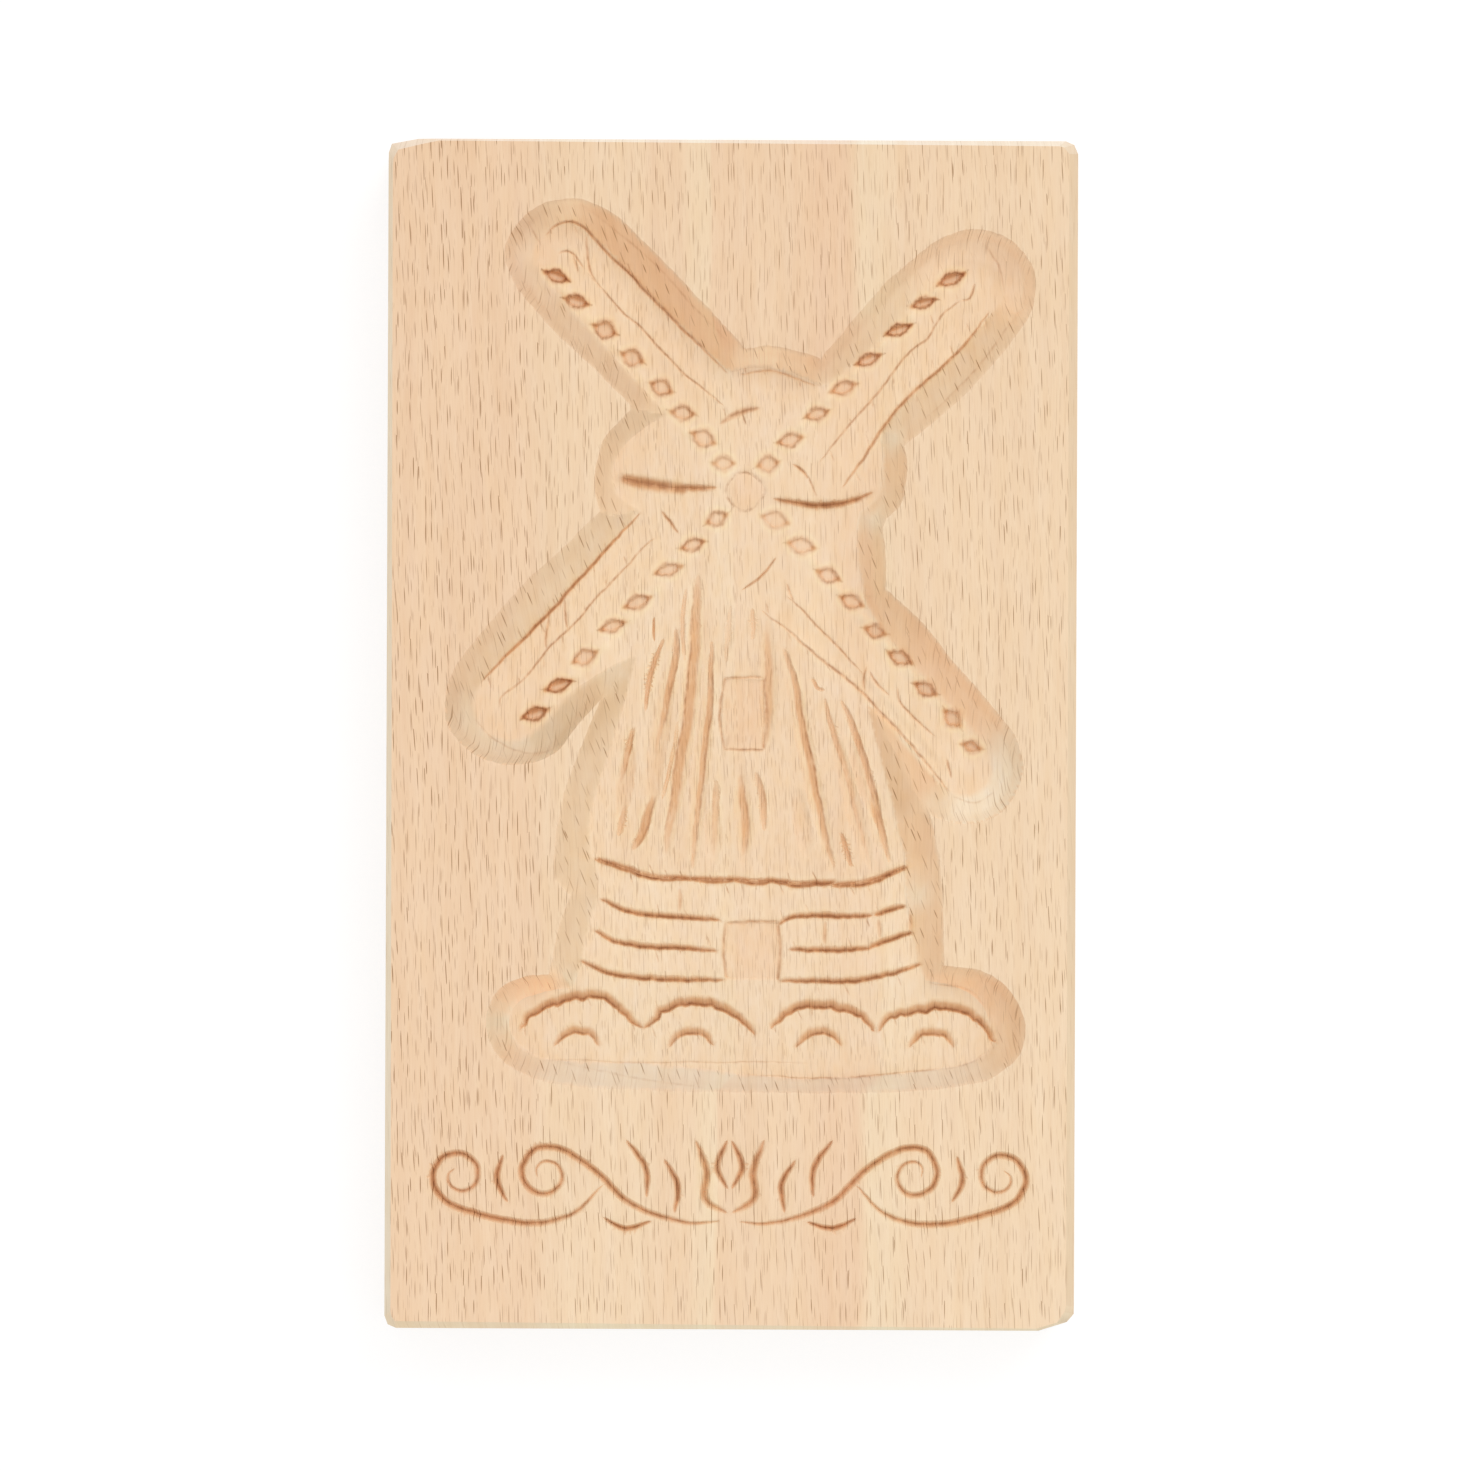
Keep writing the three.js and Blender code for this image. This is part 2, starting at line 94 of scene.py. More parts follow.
def smoothLine(points, step=lineStep):
    # a smooth line through points, with a point every step; a third number goes along with them
    knots = np.array(points, float)
    knots = np.vstack([2 * knots[0] - knots[1], knots, 2 * knots[-1] - knots[-2]])
    fine = []
    for before, start, end, after in zip(knots, knots[1:], knots[2:], knots[3:]):
        spans = ((before, start), (start, end), (end, after))
        gaps = [max(math.dist(a[:2], b[:2]), 1e-6) ** 0.5 for a, b in spans]
        leave = (start - before) / gaps[0] - (end - before) / (gaps[0] + gaps[1]) + (end - start) / gaps[1]
        arrive = (end - start) / gaps[1] - (after - start) / (gaps[1] + gaps[2]) + (after - end) / gaps[2]
        leave = leave * gaps[1]
        arrive = arrive * gaps[1]
        t = np.linspace(0, 1, spanPoints, endpoint=False)[:, None]
        bend = (2 * t ** 3 - 3 * t ** 2 + 1) * start + (t ** 3 - 2 * t ** 2 + t) * leave
        fine.append(bend + (3 * t ** 2 - 2 * t ** 3) * end + (t ** 3 - t ** 2) * arrive)
    fine = np.vstack(fine + [knots[-2:-1]])
    lengths = np.hypot(*np.diff(fine[:, :2], axis=0).T)
    run = np.concatenate([[0], np.cumsum(lengths)])
    count = max(3, round(run[-1] / step) + 1)
    marks = np.linspace(0, run[-1], count)
    return np.column_stack([np.interp(marks, run, fine[:, k]) for k in range(fine.shape[1])])


def closedOutline(runs):
    # smooth runs joined end to end, with a corner where one run meets the next
    lines = [smoothLine(run) for run in runs]
    parts = []
    for line, following in zip(lines, lines[1:] + lines[:1]):
        parts.append(line[:-1])
        bridge = math.dist(line[-1][:2], following[0][:2])
        if bridge > lineStep * 0.5:
            t = np.linspace(0, 1, round(bridge / lineStep) + 1, endpoint=False)[:, None]
            parts.append(line[-1] * (1 - t) + following[0] * t)
    return np.vstack(parts)


def roughness(places, reach, seed):
    # a chance value between -1 and 1 for each place, smooth over the reach
    return np.array([noise.noise(Vector((x / reach, y / reach, seed))) for x, y in places[:, :2]])


def uneven(places, look, seed):
    size, reach = look
    return size * roughness(places, reach, seed)


def wander(places, size, reach, seed):
    # how far a hand strays from the line, as an x and a y for each place
    return np.column_stack([roughness(places, reach, seed), roughness(places, reach, seed + 9)]) * size


def mix(low, high, share):
    return low + (high - low) * share


def smoothStep(value):
    value = np.clip(value, 0, 1)
    return value * value * (3 - 2 * value)


def ramp(value, start, width):
    # from 0 at the start smoothly to 1 a width further on, or further back where the width is below nought
    return smoothStep((value - start) / width)


def band(value, low, rise, high, fall):
    # 1 from low to high, with a soft rise past the one and a soft fall before the other
    return ramp(value, low, rise) * ramp(value, high, -fall)


def bell(value, width, middle=0):
    return np.exp(-(((value - middle) / width) ** 2))


def sideways(line):
    # the direction to a line's left at each of its points
    heading = np.gradient(line, axis=0)
    return np.column_stack([-heading[:, 1], heading[:, 0]]) / np.hypot(*heading.T)[:, None]


# The windmill. Places are from the hub; a sail's own places are along it from the hub and across it,
# with its cloth on the positive side. A third number says how softly the floor meets the wall there.
hub = np.array([1.9, 42.6])
sails = {
    "upperLeft": {
        "turn": 131.3,
        "rim": [
            (24.2, -5.1), (31.3, -5.6), (45.7, -6.7), (53.5, -6.3), (58.8, -3.7), (60.8, 1.6), (60.6, 6),
            (58, 10.8), (53.5, 13.7), (49, 14.9), (39.5, 15.6), (29.6, 16.2), (17.9, 16.5),
        ],
        "floor": [
            (18.6, -1.2, 0.1), (30, -1.2, 0.15), (45, -1.5, 0.2), (51.5, -1.3, 0.35), (55.2, 0.6, 0.4),
            (56.6, 3.9, 0.2), (56.1, 7, 0.03), (54.2, 9, 0.03), (48.3, 9.7, 0.03), (39.7, 10.1, 0.02),
            (28.7, 10.8, 0.02), (17, 11.7, 0.02),
        ],
        "edge": [
            (56.3, 3.6), (56.5, 5.7), (55.4, 8), (53.7, 9), (48.3, 9.5), (39.7, 10), (28.7, 10.7),
            (17.5, 11.5),
        ],
        "edgeShade": 0.7,
        "facets": [
            [(56, 11.3), (48, 13.3), (38, 14.3), (28, 14.7), (21, 15.1)],
            [(60.3, 2.5), (57.8, 2), (55.2, 1.4)],
        ],
        "seam": [
            (46.6, 4.4), (42.8, 4.7), (36.3, 4.8), (32.9, 5.3), (25.9, 5.5), (22.2, 5.7), (18.4, 6.4),
            (13.4, 7.1),
        ],
        "ticks": [
            [(51.6, 8.7), (49.1, 6.7), (46.6, 5.2), (43.8, 4.5)],
            [(52.5, 2.8), (52, 4.2), (50.8, 4.8), (47.6, 4.7)], [(50.6, 4.8), (47.6, 3.6)],
        ],
        "eyes": [
            (5.9, 0.6, 1.6, 1.2, 0, 0.3), (11.5, 0.8, 1.9, 1.4, -25, 0.45), (17.2, 1, 1.75, 1.2, -5, 0.5),
            (23, 1.1, 1.7, 1.35, -25, 0.55), (30.3, 0.7, 1.75, 1.4, -22, 0.5),
            (37.1, 0.3, 1.8, 1.5, -22, 0.6), (44.1, -0.2, 1.8, 1.1, -15, 0.75),
            (49.7, 0.1, 1.9, 0.95, -20, 0.9),
        ],
    },
    "upperRight": {
        "turn": 45.5,
        "rim": [
            (25.4, -6.4), (34, -7.2), (41, -7.7), (50, -7.2), (56.4, -5.9), (60.9, -3), (63.3, 1.5),
            (63.7, 5.5), (62.8, 8.8), (60.6, 11.6), (57, 13.9), (48.8, 15.3), (38, 15.7), (29.1, 15),
            (25.2, 14.5),
        ],
        "floor": [
            (23.5, -2.4, 0.1), (30, -1.6, 0.15), (42, -1.3, 0.2), (50, -1.5, 0.35), (55, -0.8, 0.5),
            (57.6, 2.5, 0.6), (57.8, 5.5, 0.6), (56, 8, 0.4), (51.9, 9, 0.05), (45.8, 9.5, 0.02),
            (38.4, 9.4, 0.02), (32.5, 9.2, 0.02), (24.5, 9.8, 0.02),
        ],
        "edge": [(52.5, 8.6), (45.8, 9.4), (38.4, 9.3), (32.5, 9), (24.5, 9.6), (18.6, 11), (12.6, 12)],
        "facets": [
            [(56.5, 11.8), (48, 13.6), (38, 14), (30, 13.4)], [(56.5, 8.5), (59.2, 4), (60.3, -0.9)],
        ],
        "edgeShade": 0.8,
        "seam": [
            (50.5, 3.6), (45.8, 3.2), (41.4, 4), (38.8, 3.5), (33.8, 4), (29.7, 4.5), (23.1, 4.9),
            (12.9, 6),
        ],
        "ticks": [[(54.4, 3.2), (51.8, 4.4), (50.5, 3.6)]],
        "eyes": [
            (6.4, -0.2, 1.55, 1.35, 10, 0.4), (12.1, -0.4, 1.9, 1.1, 15, 0.5),
            (18.6, -0.3, 1.7, 1.05, 15, 0.55), (25.1, -0.2, 2, 1.1, 18, 0.5),
            (31.7, -0.6, 1.9, 0.95, 22, 0.75), (39.1, -0.5, 2, 0.9, 20, 0.95),
            (45.5, -0.7, 1.9, 0.85, 18, 0.8), (51.9, -0.2, 2.1, 1.05, 22, 0.85),
        ],
    },
    "lowerRight": {
        "turn": 312.1,
        "rim": [
            (29.6, -7), (37.8, -7.7), (46, -7.4), (57, -7.1), (64, -6.5), (68.4, -4), (71, 0.2),
            (71.7, 3.9), (70.8, 7.4), (68.4, 10.7), (63.9, 13.7),
        ],
        "floor": [
            (27.6, -3.2, 0.1), (33, -1.8, 0.15), (45, -1.4, 0.2), (57, -1.5, 0.25), (62.5, -0.9, 0.35),
            (65.7, 1.4, 0.5), (66.2, 4, 0.5), (65, 6.6, 0.4), (62.3, 8.2, 0.1), (54.9, 8.1, 0.02),
            (45.7, 8, 0.02), (42, 8.6, 0.02),
        ],
        "edge": [(17.6, 11.7), (26.1, 10), (30.8, 9.5), (38, 8.3), (45.7, 7.8), (54.9, 7.9), (63, 8.3)],
        "facets": [[(64.2, 8.6), (67.6, 6.2), (68.6, 2.4)]],
        "edgeShade": 0.35,
        "seam": [(18.7, 6.5), (23.8, 6.1), (29.5, 6), (35.1, 5.9), (37.6, 5.7)],
        "ticks": [
            [(38.2, 4.5), (41.1, 4.8), (43.7, 4.8)],
            [(43.6, 2.7), (45.5, 4.1), (48.3, 4.3), (51.4, 4.1), (54.4, 3.7)],
            [(37.2, 4.3), (38.4, 6.2), (40.4, 7.7)], [(17, 5), (20.5, 6.4)], [(58.5, 4.6), (62, 6.4)],
        ],
        "eyes": [
            (7.5, -0.8, 2.1, 1.4, -15, 0.25), (13.9, -1.2, 2.1, 1.35, -12, 0.35),
            (20.9, -1.2, 1.75, 1.2, -22, 0.5), (27, -1.2, 1.8, 1.2, -22, 0.5),
            (33.6, -0.8, 1.6, 1.15, -18, 0.55), (40, -0.9, 1.9, 1.15, -25, 0.6),
            (47, -0.6, 1.8, 1.15, -28, 0.65), (54, -0.7, 1.7, 1.4, -45, 0.4),
            (59.9, 0.1, 1.5, 1, -15, 0.35),
        ],
    },
    "lowerLeft": {
        "turn": 227.6,
        "rim": [
            (43.6, -6.4), (50.8, -6.6), (55.5, -7), (60.1, -4.9), (63.4, -1.6), (65.4, 2.6), (65.8, 6.5),
            (64.7, 10.3), (61.8, 13.6), (57, 15.9), (50, 16.6), (38.2, 17.1), (30.2, 16.4), (19.7, 15.9),
        ],
        "floor": [
            (33.5, -5.6, 0.05), (39.2, -3.5, 0.1), (46, -1.7, 0.2), (53, -1.4, 0.35), (57.6, -0.6, 0.5),
            (60.3, 2.2, 0.5), (60.8, 5.5, 0.5), (59.4, 8.6, 0.4), (56.5, 10.5, 0.1), (52.9, 11, 0.03),
            (47.8, 11, 0.02), (40.6, 10.6, 0.02), (30.2, 10.7, 0.02), (23.8, 10.7, 0.02),
            (14.5, 10.9, 0.05),
        ],
        "edge": [
            (55.5, 10.9), (52.9, 11), (47.8, 10.9), (40.6, 10.5), (30.2, 10.6), (23.8, 10.6),
            (15, 10.7),
        ],
        "facets": [[(61.1, 7.8), (61.4, 2.6), (60.1, -1.7), (56.8, -5.5), (52.6, -7)]],
        "edgeShade": 1.25,
        "seam": [
            (16.3, 5.6), (18.9, 6.2), (24.3, 6), (31, 6.3), (35.5, 5.9), (42.4, 6.4), (50.1, 5.9),
            (55.2, 6.6), (56.5, 5.7),
        ],
        "ticks": [[(34.9, 10.4), (38.9, 5.9)], [(38.2, 10.9), (42.5, 7.9), (44.3, 6)]],
        "eyes": [
            (6.7, 0.1, 1.6, 1.2, 22, 0.5), (12.9, 0.1, 1.8, 1, 18, 0.6), (19, 0.3, 2.1, 1, 15, 0.5),
            (26.8, 0.4, 2.1, 1.1, 22, 0.5), (32.8, 0.8, 2, 1, 18, 0.5), (40.1, 0.7, 2, 1.3, 25, 0.4),
            (46.8, 0.7, 2.1, 1, 20, 1), (53.3, 0.4, 2, 1.1, 18, 0.9),
        ],
    },
}
body = {
    "rim": {
        "capTop": [(0.5, 24.5), (4.2, 25), (8.3, 24.4), (13.2, 23)],
        "capRight": [(28, 7.8), (28.5, 4.5), (28.3, 0.5), (27.3, -2.6), (24.9, -4.9)],
        "neckRight": [(24.3, -6.4), (24.9, -12.2), (24.9, -17)],
        "bodyRight": [(32.7, -56.5), (34.1, -62.6), (34.8, -67.8), (35.1, -76), (35.3, -82.4)],
        "mound": [
            (35.3, -82.6), (42.3, -83.7), (46.9, -87.2), (49.4, -93), (48.4, -98), (44.3, -101.8),
            (38, -103.6), (27.5, -104.6), (0, -104.8), (-24.7, -104.1), (-34.1, -103), (-40.1, -100.4),
            (-43.5, -96.6), (-44.4, -91.6), (-42.6, -87.6), (-38.6, -85), (-33.4, -84.3),
        ],
        "footLeft": [(-33.4, -84.3), (-31.9, -76.5), (-29.9, -70.6)],
        "bodyLeft": [(-32.7, -67.6), (-32.6, -62), (-31.4, -54.9), (-28.6, -46.2), (-24.7, -36.5)],
        "capLeft": [(-25, -3.8), (-25.8, 0.5), (-25.6, 4.5), (-23.8, 9.4), (-19.8, 13.8)],
    },
    "floor": {
        "capTop": [
            (-2.2, 20.6, 0.02), (1.5, 21.5, 0.02), (5.7, 21.2, 0.02), (9.6, 20.2, 0.02), (13.2, 18.3, 0.05),
        ],
        "capRight": [
            (23.8, 9, 0.1), (24.3, 5.8, 0.1), (24.2, 2, 0.1), (22.9, -1.4, 0.15), (20.2, -3.8, 0.1),
        ],
        "neckRight": [(19.8, -6, 0.1), (19.8, -11, 0.1), (21.2, -18.1, 0.05)],
        "bodyRight": [
            (21.6, -37.9, 0.02), (24, -46.8, 0.03), (26.1, -54.6, 0.03), (28.2, -63, 0.03),
            (28.5, -65.6, 0.03),
        ],
        "footRight": [(28.2, -66.4, 0.05), (28.4, -70.4, 0.05), (29.6, -76.9, 0.05), (30.6, -82.6, 0.1)],
        "mound": [
            (32.3, -85.5, 0.2), (38.2, -86.8, 0.35), (42, -89.5, 0.4), (43.7, -94.1, 0.3),
            (43.2, -97.4, 0.1), (39.7, -99.7, 0.02), (31.3, -101.2, 0.02), (24.7, -101.9, 0.02),
            (11.3, -102.6, 0.02), (1.4, -101.9, 0.02), (-7.3, -100.8, 0.02), (-17.7, -100, 0.02),
            (-26.4, -99.8, 0.02), (-34.3, -99.1, 0.05), (-38.9, -96.7, 0.15), (-40.5, -93, 0.25),
            (-38.9, -89.4, 0.25), (-34.3, -87.6, 0.2), (-29.2, -86.9, 0.1),
        ],
        "footLeft": [(-27.9, -83, 0.05), (-26.5, -76.5, 0.05), (-25.1, -71.6, 0.05), (-24.8, -67.4, 0.05)],
        "bodyLeft": [
            (-25.4, -65.2, 0.03), (-26.3, -62.6, 0.03), (-26.3, -57.6, 0.03), (-25, -51.5, 0.03),
            (-22.3, -43.5, 0.03), (-20.2, -35.7, 0.05), (-18.5, -29.4, 0.05),
        ],
        "capLeft": [
            (-18.4, -3.2, 0.1), (-21.2, -1.2, 0.15), (-22.5, 1.6, 0.15), (-22.3, 4.6, 0.15),
            (-21.3, 7.2, 0.1), (-18.8, 9.8, 0.05), (-15.7, 12, 0.05), (-13.3, 13.1, 0.05),
        ],
    },
    "upperDepth": 6.2,
    "lowerDepth": 5.6,
    "skirt": [
        (-34, -62.5), (-25.2, -64.7), (-21.2, -65.9), (-14.3, -67.6), (-3, -68.2), (0, -68.2), (10.1, -68.7),
        (17, -68.9), (24.9, -67.5), (28.3, -65.9), (36, -63),
    ],
}


def sailAxes(sail):
    turn = math.radians(sail["turn"])
    return np.array([math.cos(turn), math.sin(turn)]), np.array([math.sin(turn), -math.cos(turn)])


def onSail(sail, points):
    along, across = sailAxes(sail)
    return [(*(hub + along * p[0] + across * p[1]), *p[2:]) for p in points]


def overSail(sail, away):
    # how far along a sail and how far across it the places are, when they are given from the hub
    along, across = sailAxes(sail)
    return away @ along, away @ across


def fromHub(points):
    return [(p[0] + hub[0], p[1] + hub[1], *p[2:]) for p in points]


handStrays = (  # how far, over what length and by which chance
    (0.22, 4.5, {"rim": 3, "floor": 21}),
    (0.13, 1.1, {"rim": 7, "floor": 27}),
)


def hollowOutline(kind):
    # clockwise round the mill, from the upper left sail
    part = {name: fromHub(points) for name, points in body[kind].items()}
    arm = {name: onSail(sail, sail[kind]) for name, sail in sails.items()}
    runs = [arm["upperLeft"], part["capTop"], arm["upperRight"], part["capRight"], part["neckRight"]]
    runs += [arm["lowerRight"], part["bodyRight"]]
    if kind == "floor":
        runs.append(part["footRight"])
    runs += [part["mound"], part["footLeft"], part["bodyLeft"], arm["lowerLeft"], part["capLeft"]]
    outline = closedOutline(runs)
    for size, reach, seeds in handStrays:
        outline[:, :2] += wander(outline, size, reach, seeds[kind])
    return outline


rim = hollowOutline("rim")
floor = hollowOutline("floor")
skirt = smoothLine(fromHub(body["skirt"]))
print("outlines drawn:", len(rim), "and", len(floor), "points")


# Cuts. A cut is a gouged line: how wide it is on its left and its right, how deep, whether its section is a
# V or round, how wide and dark the brown line along its keel is (crushed wood, with painted shade in the
# crease), how orange its slopes look (up to 2, which is brown), which is painted shade with some of the end
# grain's warmer colour, and how pale it is just beside its rims, which is a painted highlight.
cuts = []
cutStep = 0.4
jagReach, strayReach = 1.4, 6
cutColumns = ("left", "right", "depth", "shape", "core", "dark", "orange", "pale")
cutKinds = {
    "edge": (0.4, 0.4, 0.35, "vee", 0.22, 0.5, 1.2, 0.6),
    "seam": (0.32, 0.32, 0.25, "vee", 0.17, 0.52, 0.4, 0.5),
    "crescent": (0.95, 0.95, 0.8, "vee", 0.85, 0.66, 1.3, 0.6),
    "tick": (0.42, 0.42, 0.35, "vee", 0.26, 0.65, 0.8, 0.4),
    "thorn": (0.2, 0.2, 0.12, "vee", 0.13, 0.5, 0.15, 0),
    "straw": (0.8, 0.8, 0.75, "round", 0.5, 0, 1.2, 0.9),
    "furrow": (1.6, 1.6, 0.55, "round", 0.5, 0, 0.4, 0),
    "nick": (0.2, 0.2, 0.12, "vee", 0.2, 0.5, 0.3, 0),
    "skirt": (0.95, 0.4, 0.8, "vee", 0.42, 0.6, 1.4, 0.7),
    "course": (0.85, 0.4, 0.7, "vee", 0.36, 0.62, 1.3, 0.6),
    "bush": (1.35, 0.4, 0.9, "vee", 0.28, 0.55, 1.6, 0.4),
    "twig": (1.2, 0.35, 0.6, "vee", 0.25, 0.52, 1.35, 0.3),
    "joint": (0.4, 0.4, 0.2, "round", 0.25, 0.3, 0.6, 0.4),
    "stroke": (0.7, 0.7, 0.9, "vee", 0.33, 0.44, 1.1, 0.4),
}


# glow sets how strong the orange painted shade on the slopes is
def cut(kind, points, wide=1, strong=1, taper=0.4, stray=0.3, jag=0.1, glow=1):
    one = dict(zip(cutColumns, cutKinds[kind]), wide=wide, strong=strong, taper=taper)
    one["orange"] *= glow
    line = smoothLine(points, cutStep)
    line += wander(line, jag, jagReach, len(cuts)) + wander(line, stray, strayReach, len(cuts) + 50)
    one["line"] = line
    cuts.append(one)
    return line


def millCut(kind, points, *looks, **others):
    return cut(kind, fromHub(points), *looks, **others)


thorn = {"shift": 0.3, "lean": (0.1, 0.5), "rise": (0.9, 2.6), "strong": (0.5, 1.1), "stray": 0.2}


def thorns(line, every, strong=1):
    # the grain tears in short lines that cross a cut
    for place in line[3:-3:max(1, round(every / cutStep))]:
        start = place + rng.uniform(-thorn["shift"], thorn["shift"], 2)
        lean, rise = rng.uniform(*thorn["lean"]), rng.uniform(*thorn["rise"]) * rng.choice((-1, 1))
        end = start + np.array([-lean * rise, rise])
        cut("thorn", [start, end], 1, strong * rng.uniform(*thorn["strong"]), stray=thorn["stray"])


# the orange along each sail's edge is painted shade at the foot of its wall, stronger on some sails
for sail in sails.values():
    edge = cut("edge", onSail(sail, sail["edge"]), taper=0.3, jag=0.15, glow=sail["edgeShade"])
    thorns(edge, 4.4, 0.8)
    thorns(cut("seam", onSail(sail, sail["seam"]), taper=0.3), 5.6, 0.8)
    for tick in sail["ticks"]:
        cut("seam", onSail(sail, tick), strong=0.9)
    for facet in sail["facets"]:
        cut("nick", onSail(sail, facet), strong=0.5)

# The cap's two crescents and the short lines round the hub
millCut("crescent", [(-20.9, 1.8), (-16.3, 1), (-11.4, 0.4), (-8.7, 0.4), (-4.6, 0.6)], 0.8, 0.85, 0.3, 0.2)
millCut("crescent", [(-21.2, 2.2), (-17.5, 1.3), (-13.5, 0.7), (-10, 0.2)], 1.25, 0.9, 0.12, 0.1)
for away in (-0.45, 0.1, 0.5):
    line = [(-20.8, 2 + away), (-16.3, 1.1 + away), (-11.4, 0.4 + 0.7 * away), (-7, 0.4 + 0.3 * away)]
    millCut("nick", line)
crescent = [(5, -1.2), (9, -2), (12.5, -2.4), (15.5, -2.3), (19.5, -1.5), (22.8, -0.1)]
millCut("crescent", crescent, 0.7, 0.95)
thorns(millCut("tick", [(-4.1, 11.6), (-2.8, 12.5), (-1, 13.4), (0.7, 13.9), (3, 14.4)], 1.7), 3.2)
millCut("tick", [(8.6, 4.7), (9.6, 4.1), (10.8, 3.1), (11.4, 2.2)], 0.8, 0.8)
millCut("nick", [(10.8, 3.1), (11.8, 1.4), (12.9, -0.9)])
millCut("tick", [(-14.4, -3.6), (-12.8, -5.4), (-11.3, -7.5)], 0.9, 0.9)
millCut("tick", [(5.8, -11.6), (3.4, -14.6), (-0.2, -17.2)], 0.7, 0.7)
thorns(millCut("tick", [(-0.7, 20.4), (5.7, 21), (12.6, 18.4)], 0.8, 0.42), 3)

# Straws of the thatch
straws = [
    ([(-7.8, -14.8), (-8.2, -22), (-8.6, -29.6), (-9.4, -39.7), (-11, -48.5), (-13.4, -63.7)], 1.4, 1),
    ([(7.2, -27.4), (9.1, -33.9), (10.6, -41.7), (12.2, -48.5), (14.8, -61), (16.2, -65.9)], 1, 1),
    ([(-11.6, -23.9), (-11.6, -28), (-12.5, -33), (-13.6, -38.3), (-15.2, -46.2)], 0.9, 0.85),
    ([(-13.8, -25.7), (-15.3, -29.8), (-16.2, -33.4), (-17, -38.6)], 0.6, 0.7),
    ([(-15.4, -22), (-15.4, -26.4)], 0.3, 0.5),
    ([(-19.1, -41.5), (-20.2, -46.6), (-21.2, -51.5)], 0.75, 0.7),
    ([(-20.4, -54.4), (-20.9, -57.4), (-21.6, -60.4)], 0.7, 0.5),
    ([(-15.5, -53), (-16.5, -56.4), (-17.5, -60), (-19.2, -62.8)], 1.05, 1),
    ([(-5.4, -26.1), (-5.8, -38.6), (-7.1, -49.6), (-7.9, -57.4), (-8.6, -66.2)], 0.85, 0.85),
    ([(-4.5, -50.6), (-4.6, -57.4), (-5, -64.6)], 0.9, 0.55),
    ([(-0.3, -49.4), (-0.1, -53.2), (0.6, -59.5), (0.2, -64)], 1.1, 0.9),
    ([(2.4, -49), (3.5, -53.2), (3.9, -59.5)], 0.8, 0.55),
    ([(4.2, -24), (4.7, -33), (4.5, -39.1), (3.9, -45.2)], 1.15, 0.75),
    ([(1.6, -20.4), (1.9, -26)], 0.6, 0.3),
    ([(12, -32.7), (13.2, -34.6), (14.5, -34.9)], 0.4, 0.4),
    ([(14.3, -36), (15.3, -40.2), (18.4, -49.6), (20.5, -58.4), (22.6, -64.8)], 0.75, 0.6),
    ([(17.1, -36.5), (19, -40.2), (21.1, -46.4), (23.1, -53.2), (24.2, -58.4), (26, -64.8)], 0.85, 0.75),
    ([(22.1, -52.7), (24.7, -59.5)], 0.8, 0.8),
    ([(10.1, -54.3), (11.4, -59.5)], 0.5, 0.4),
    ([(17.4, -59.5), (19.3, -65.8)], 0.6, 0.6),
    ([(-11, -40), (-12.6, -48.5), (-14, -54)], 0.5, 0.35),
    ([(-2, -20), (-3, -30)], 0.6, 0.22),
    ([(-9.9, -17), (-10.4, -24), (-10.2, -30)], 0.5, 0.3),
]
furrows = [
    [(-8, -18), (-9.4, -40), (-13.6, -65)], [(7.6, -28), (11, -44), (16, -67)],
    [(-12.4, -28), (-15.4, -50), (-17, -60)], [(4.6, -22), (4.4, -46)], [(0, -48), (0.6, -66)],
    [(16, -42), (21, -60), (22.6, -66)], [(-6, -30), (-8.6, -66)], [(19, -44), (24, -58)],
    [(-4.8, -54), (-5.2, -66)], [(-19.5, -44), (-21.4, -58)], [(9.5, -52), (11.5, -64)],
]
strawLine = {"from": 0.7, "away": 0.6, "step": 1.2}  # a fine line along one side of the wider straws
for points in furrows:
    millCut("furrow", points, taper=0.5)
for number, (points, wide, strong) in enumerate(straws):
    line = millCut("straw", points, wide, strong, taper=0.35)
    edgeAway = cuts[-1]["left"] * wide * (strawLine["away"] if number % 3 else -strawLine["away"])
    if wide > strawLine["from"]:
        line = smoothLine(line[::3], strawLine["step"])
        cut("nick", line + sideways(line) * edgeAway, 1, strong, taper=0.3, stray=0.05)

# The skirt's edge, the courses of brick on both sides of the door, and faint joints between bricks
for points in (
    [(-25.4, -64.5), (-21.2, -66), (-14.6, -67.8), (-8.6, -68.1)],
    [(-9, -67.8), (-5, -68.4), (-1.2, -68.1)],
    [(-1.4, -68), (3.4, -68.6), (5.8, -68)], [(5, -68.1), (10, -69), (16.4, -68.6)],
    [(15.8, -68.9), (21, -68.6), (24.9, -67.5), (28.7, -65.7)],
):
    thorns(millCut("skirt", points, taper=0.14, stray=0.25, jag=0.2), 2.2)
courses = [
    [(-24.6, -71.4), (-20, -73.6), (-14.3, -74.5), (-3.8, -74.9)],
    [(6.6, -75.7), (8.6, -74.6), (16, -74.4), (23, -74.1)],
    [(23.2, -74.2), (28.6, -72.4)],
    [(-25.6, -77), (-21.6, -79), (-15, -79.8), (-4.4, -80.3)],
    [(8.4, -80.1), (16, -80.3), (22.6, -79.9)],
    [(22.2, -79.9), (29.8, -76.9)],
    [(-28, -82.1), (-23.6, -84.2), (-17.7, -85.3), (-3, -85.5)],
    [(6.9, -85.6), (17, -85.7), (24, -84.9), (31.4, -82.6)],
]
for points in courses:
    thorns(millCut("course", points, taper=0.2, stray=0.22, jag=0.18), 5, 0.7)
for points in (
    [(-10.8, -69.2), (-10.9, -73.6)], [(14.7, -75), (14.6, -79.4)],
    [(24, -74.5), (24.2, -78)], [(29.4, -73.5), (29.6, -77)],
):
    millCut("joint", points)

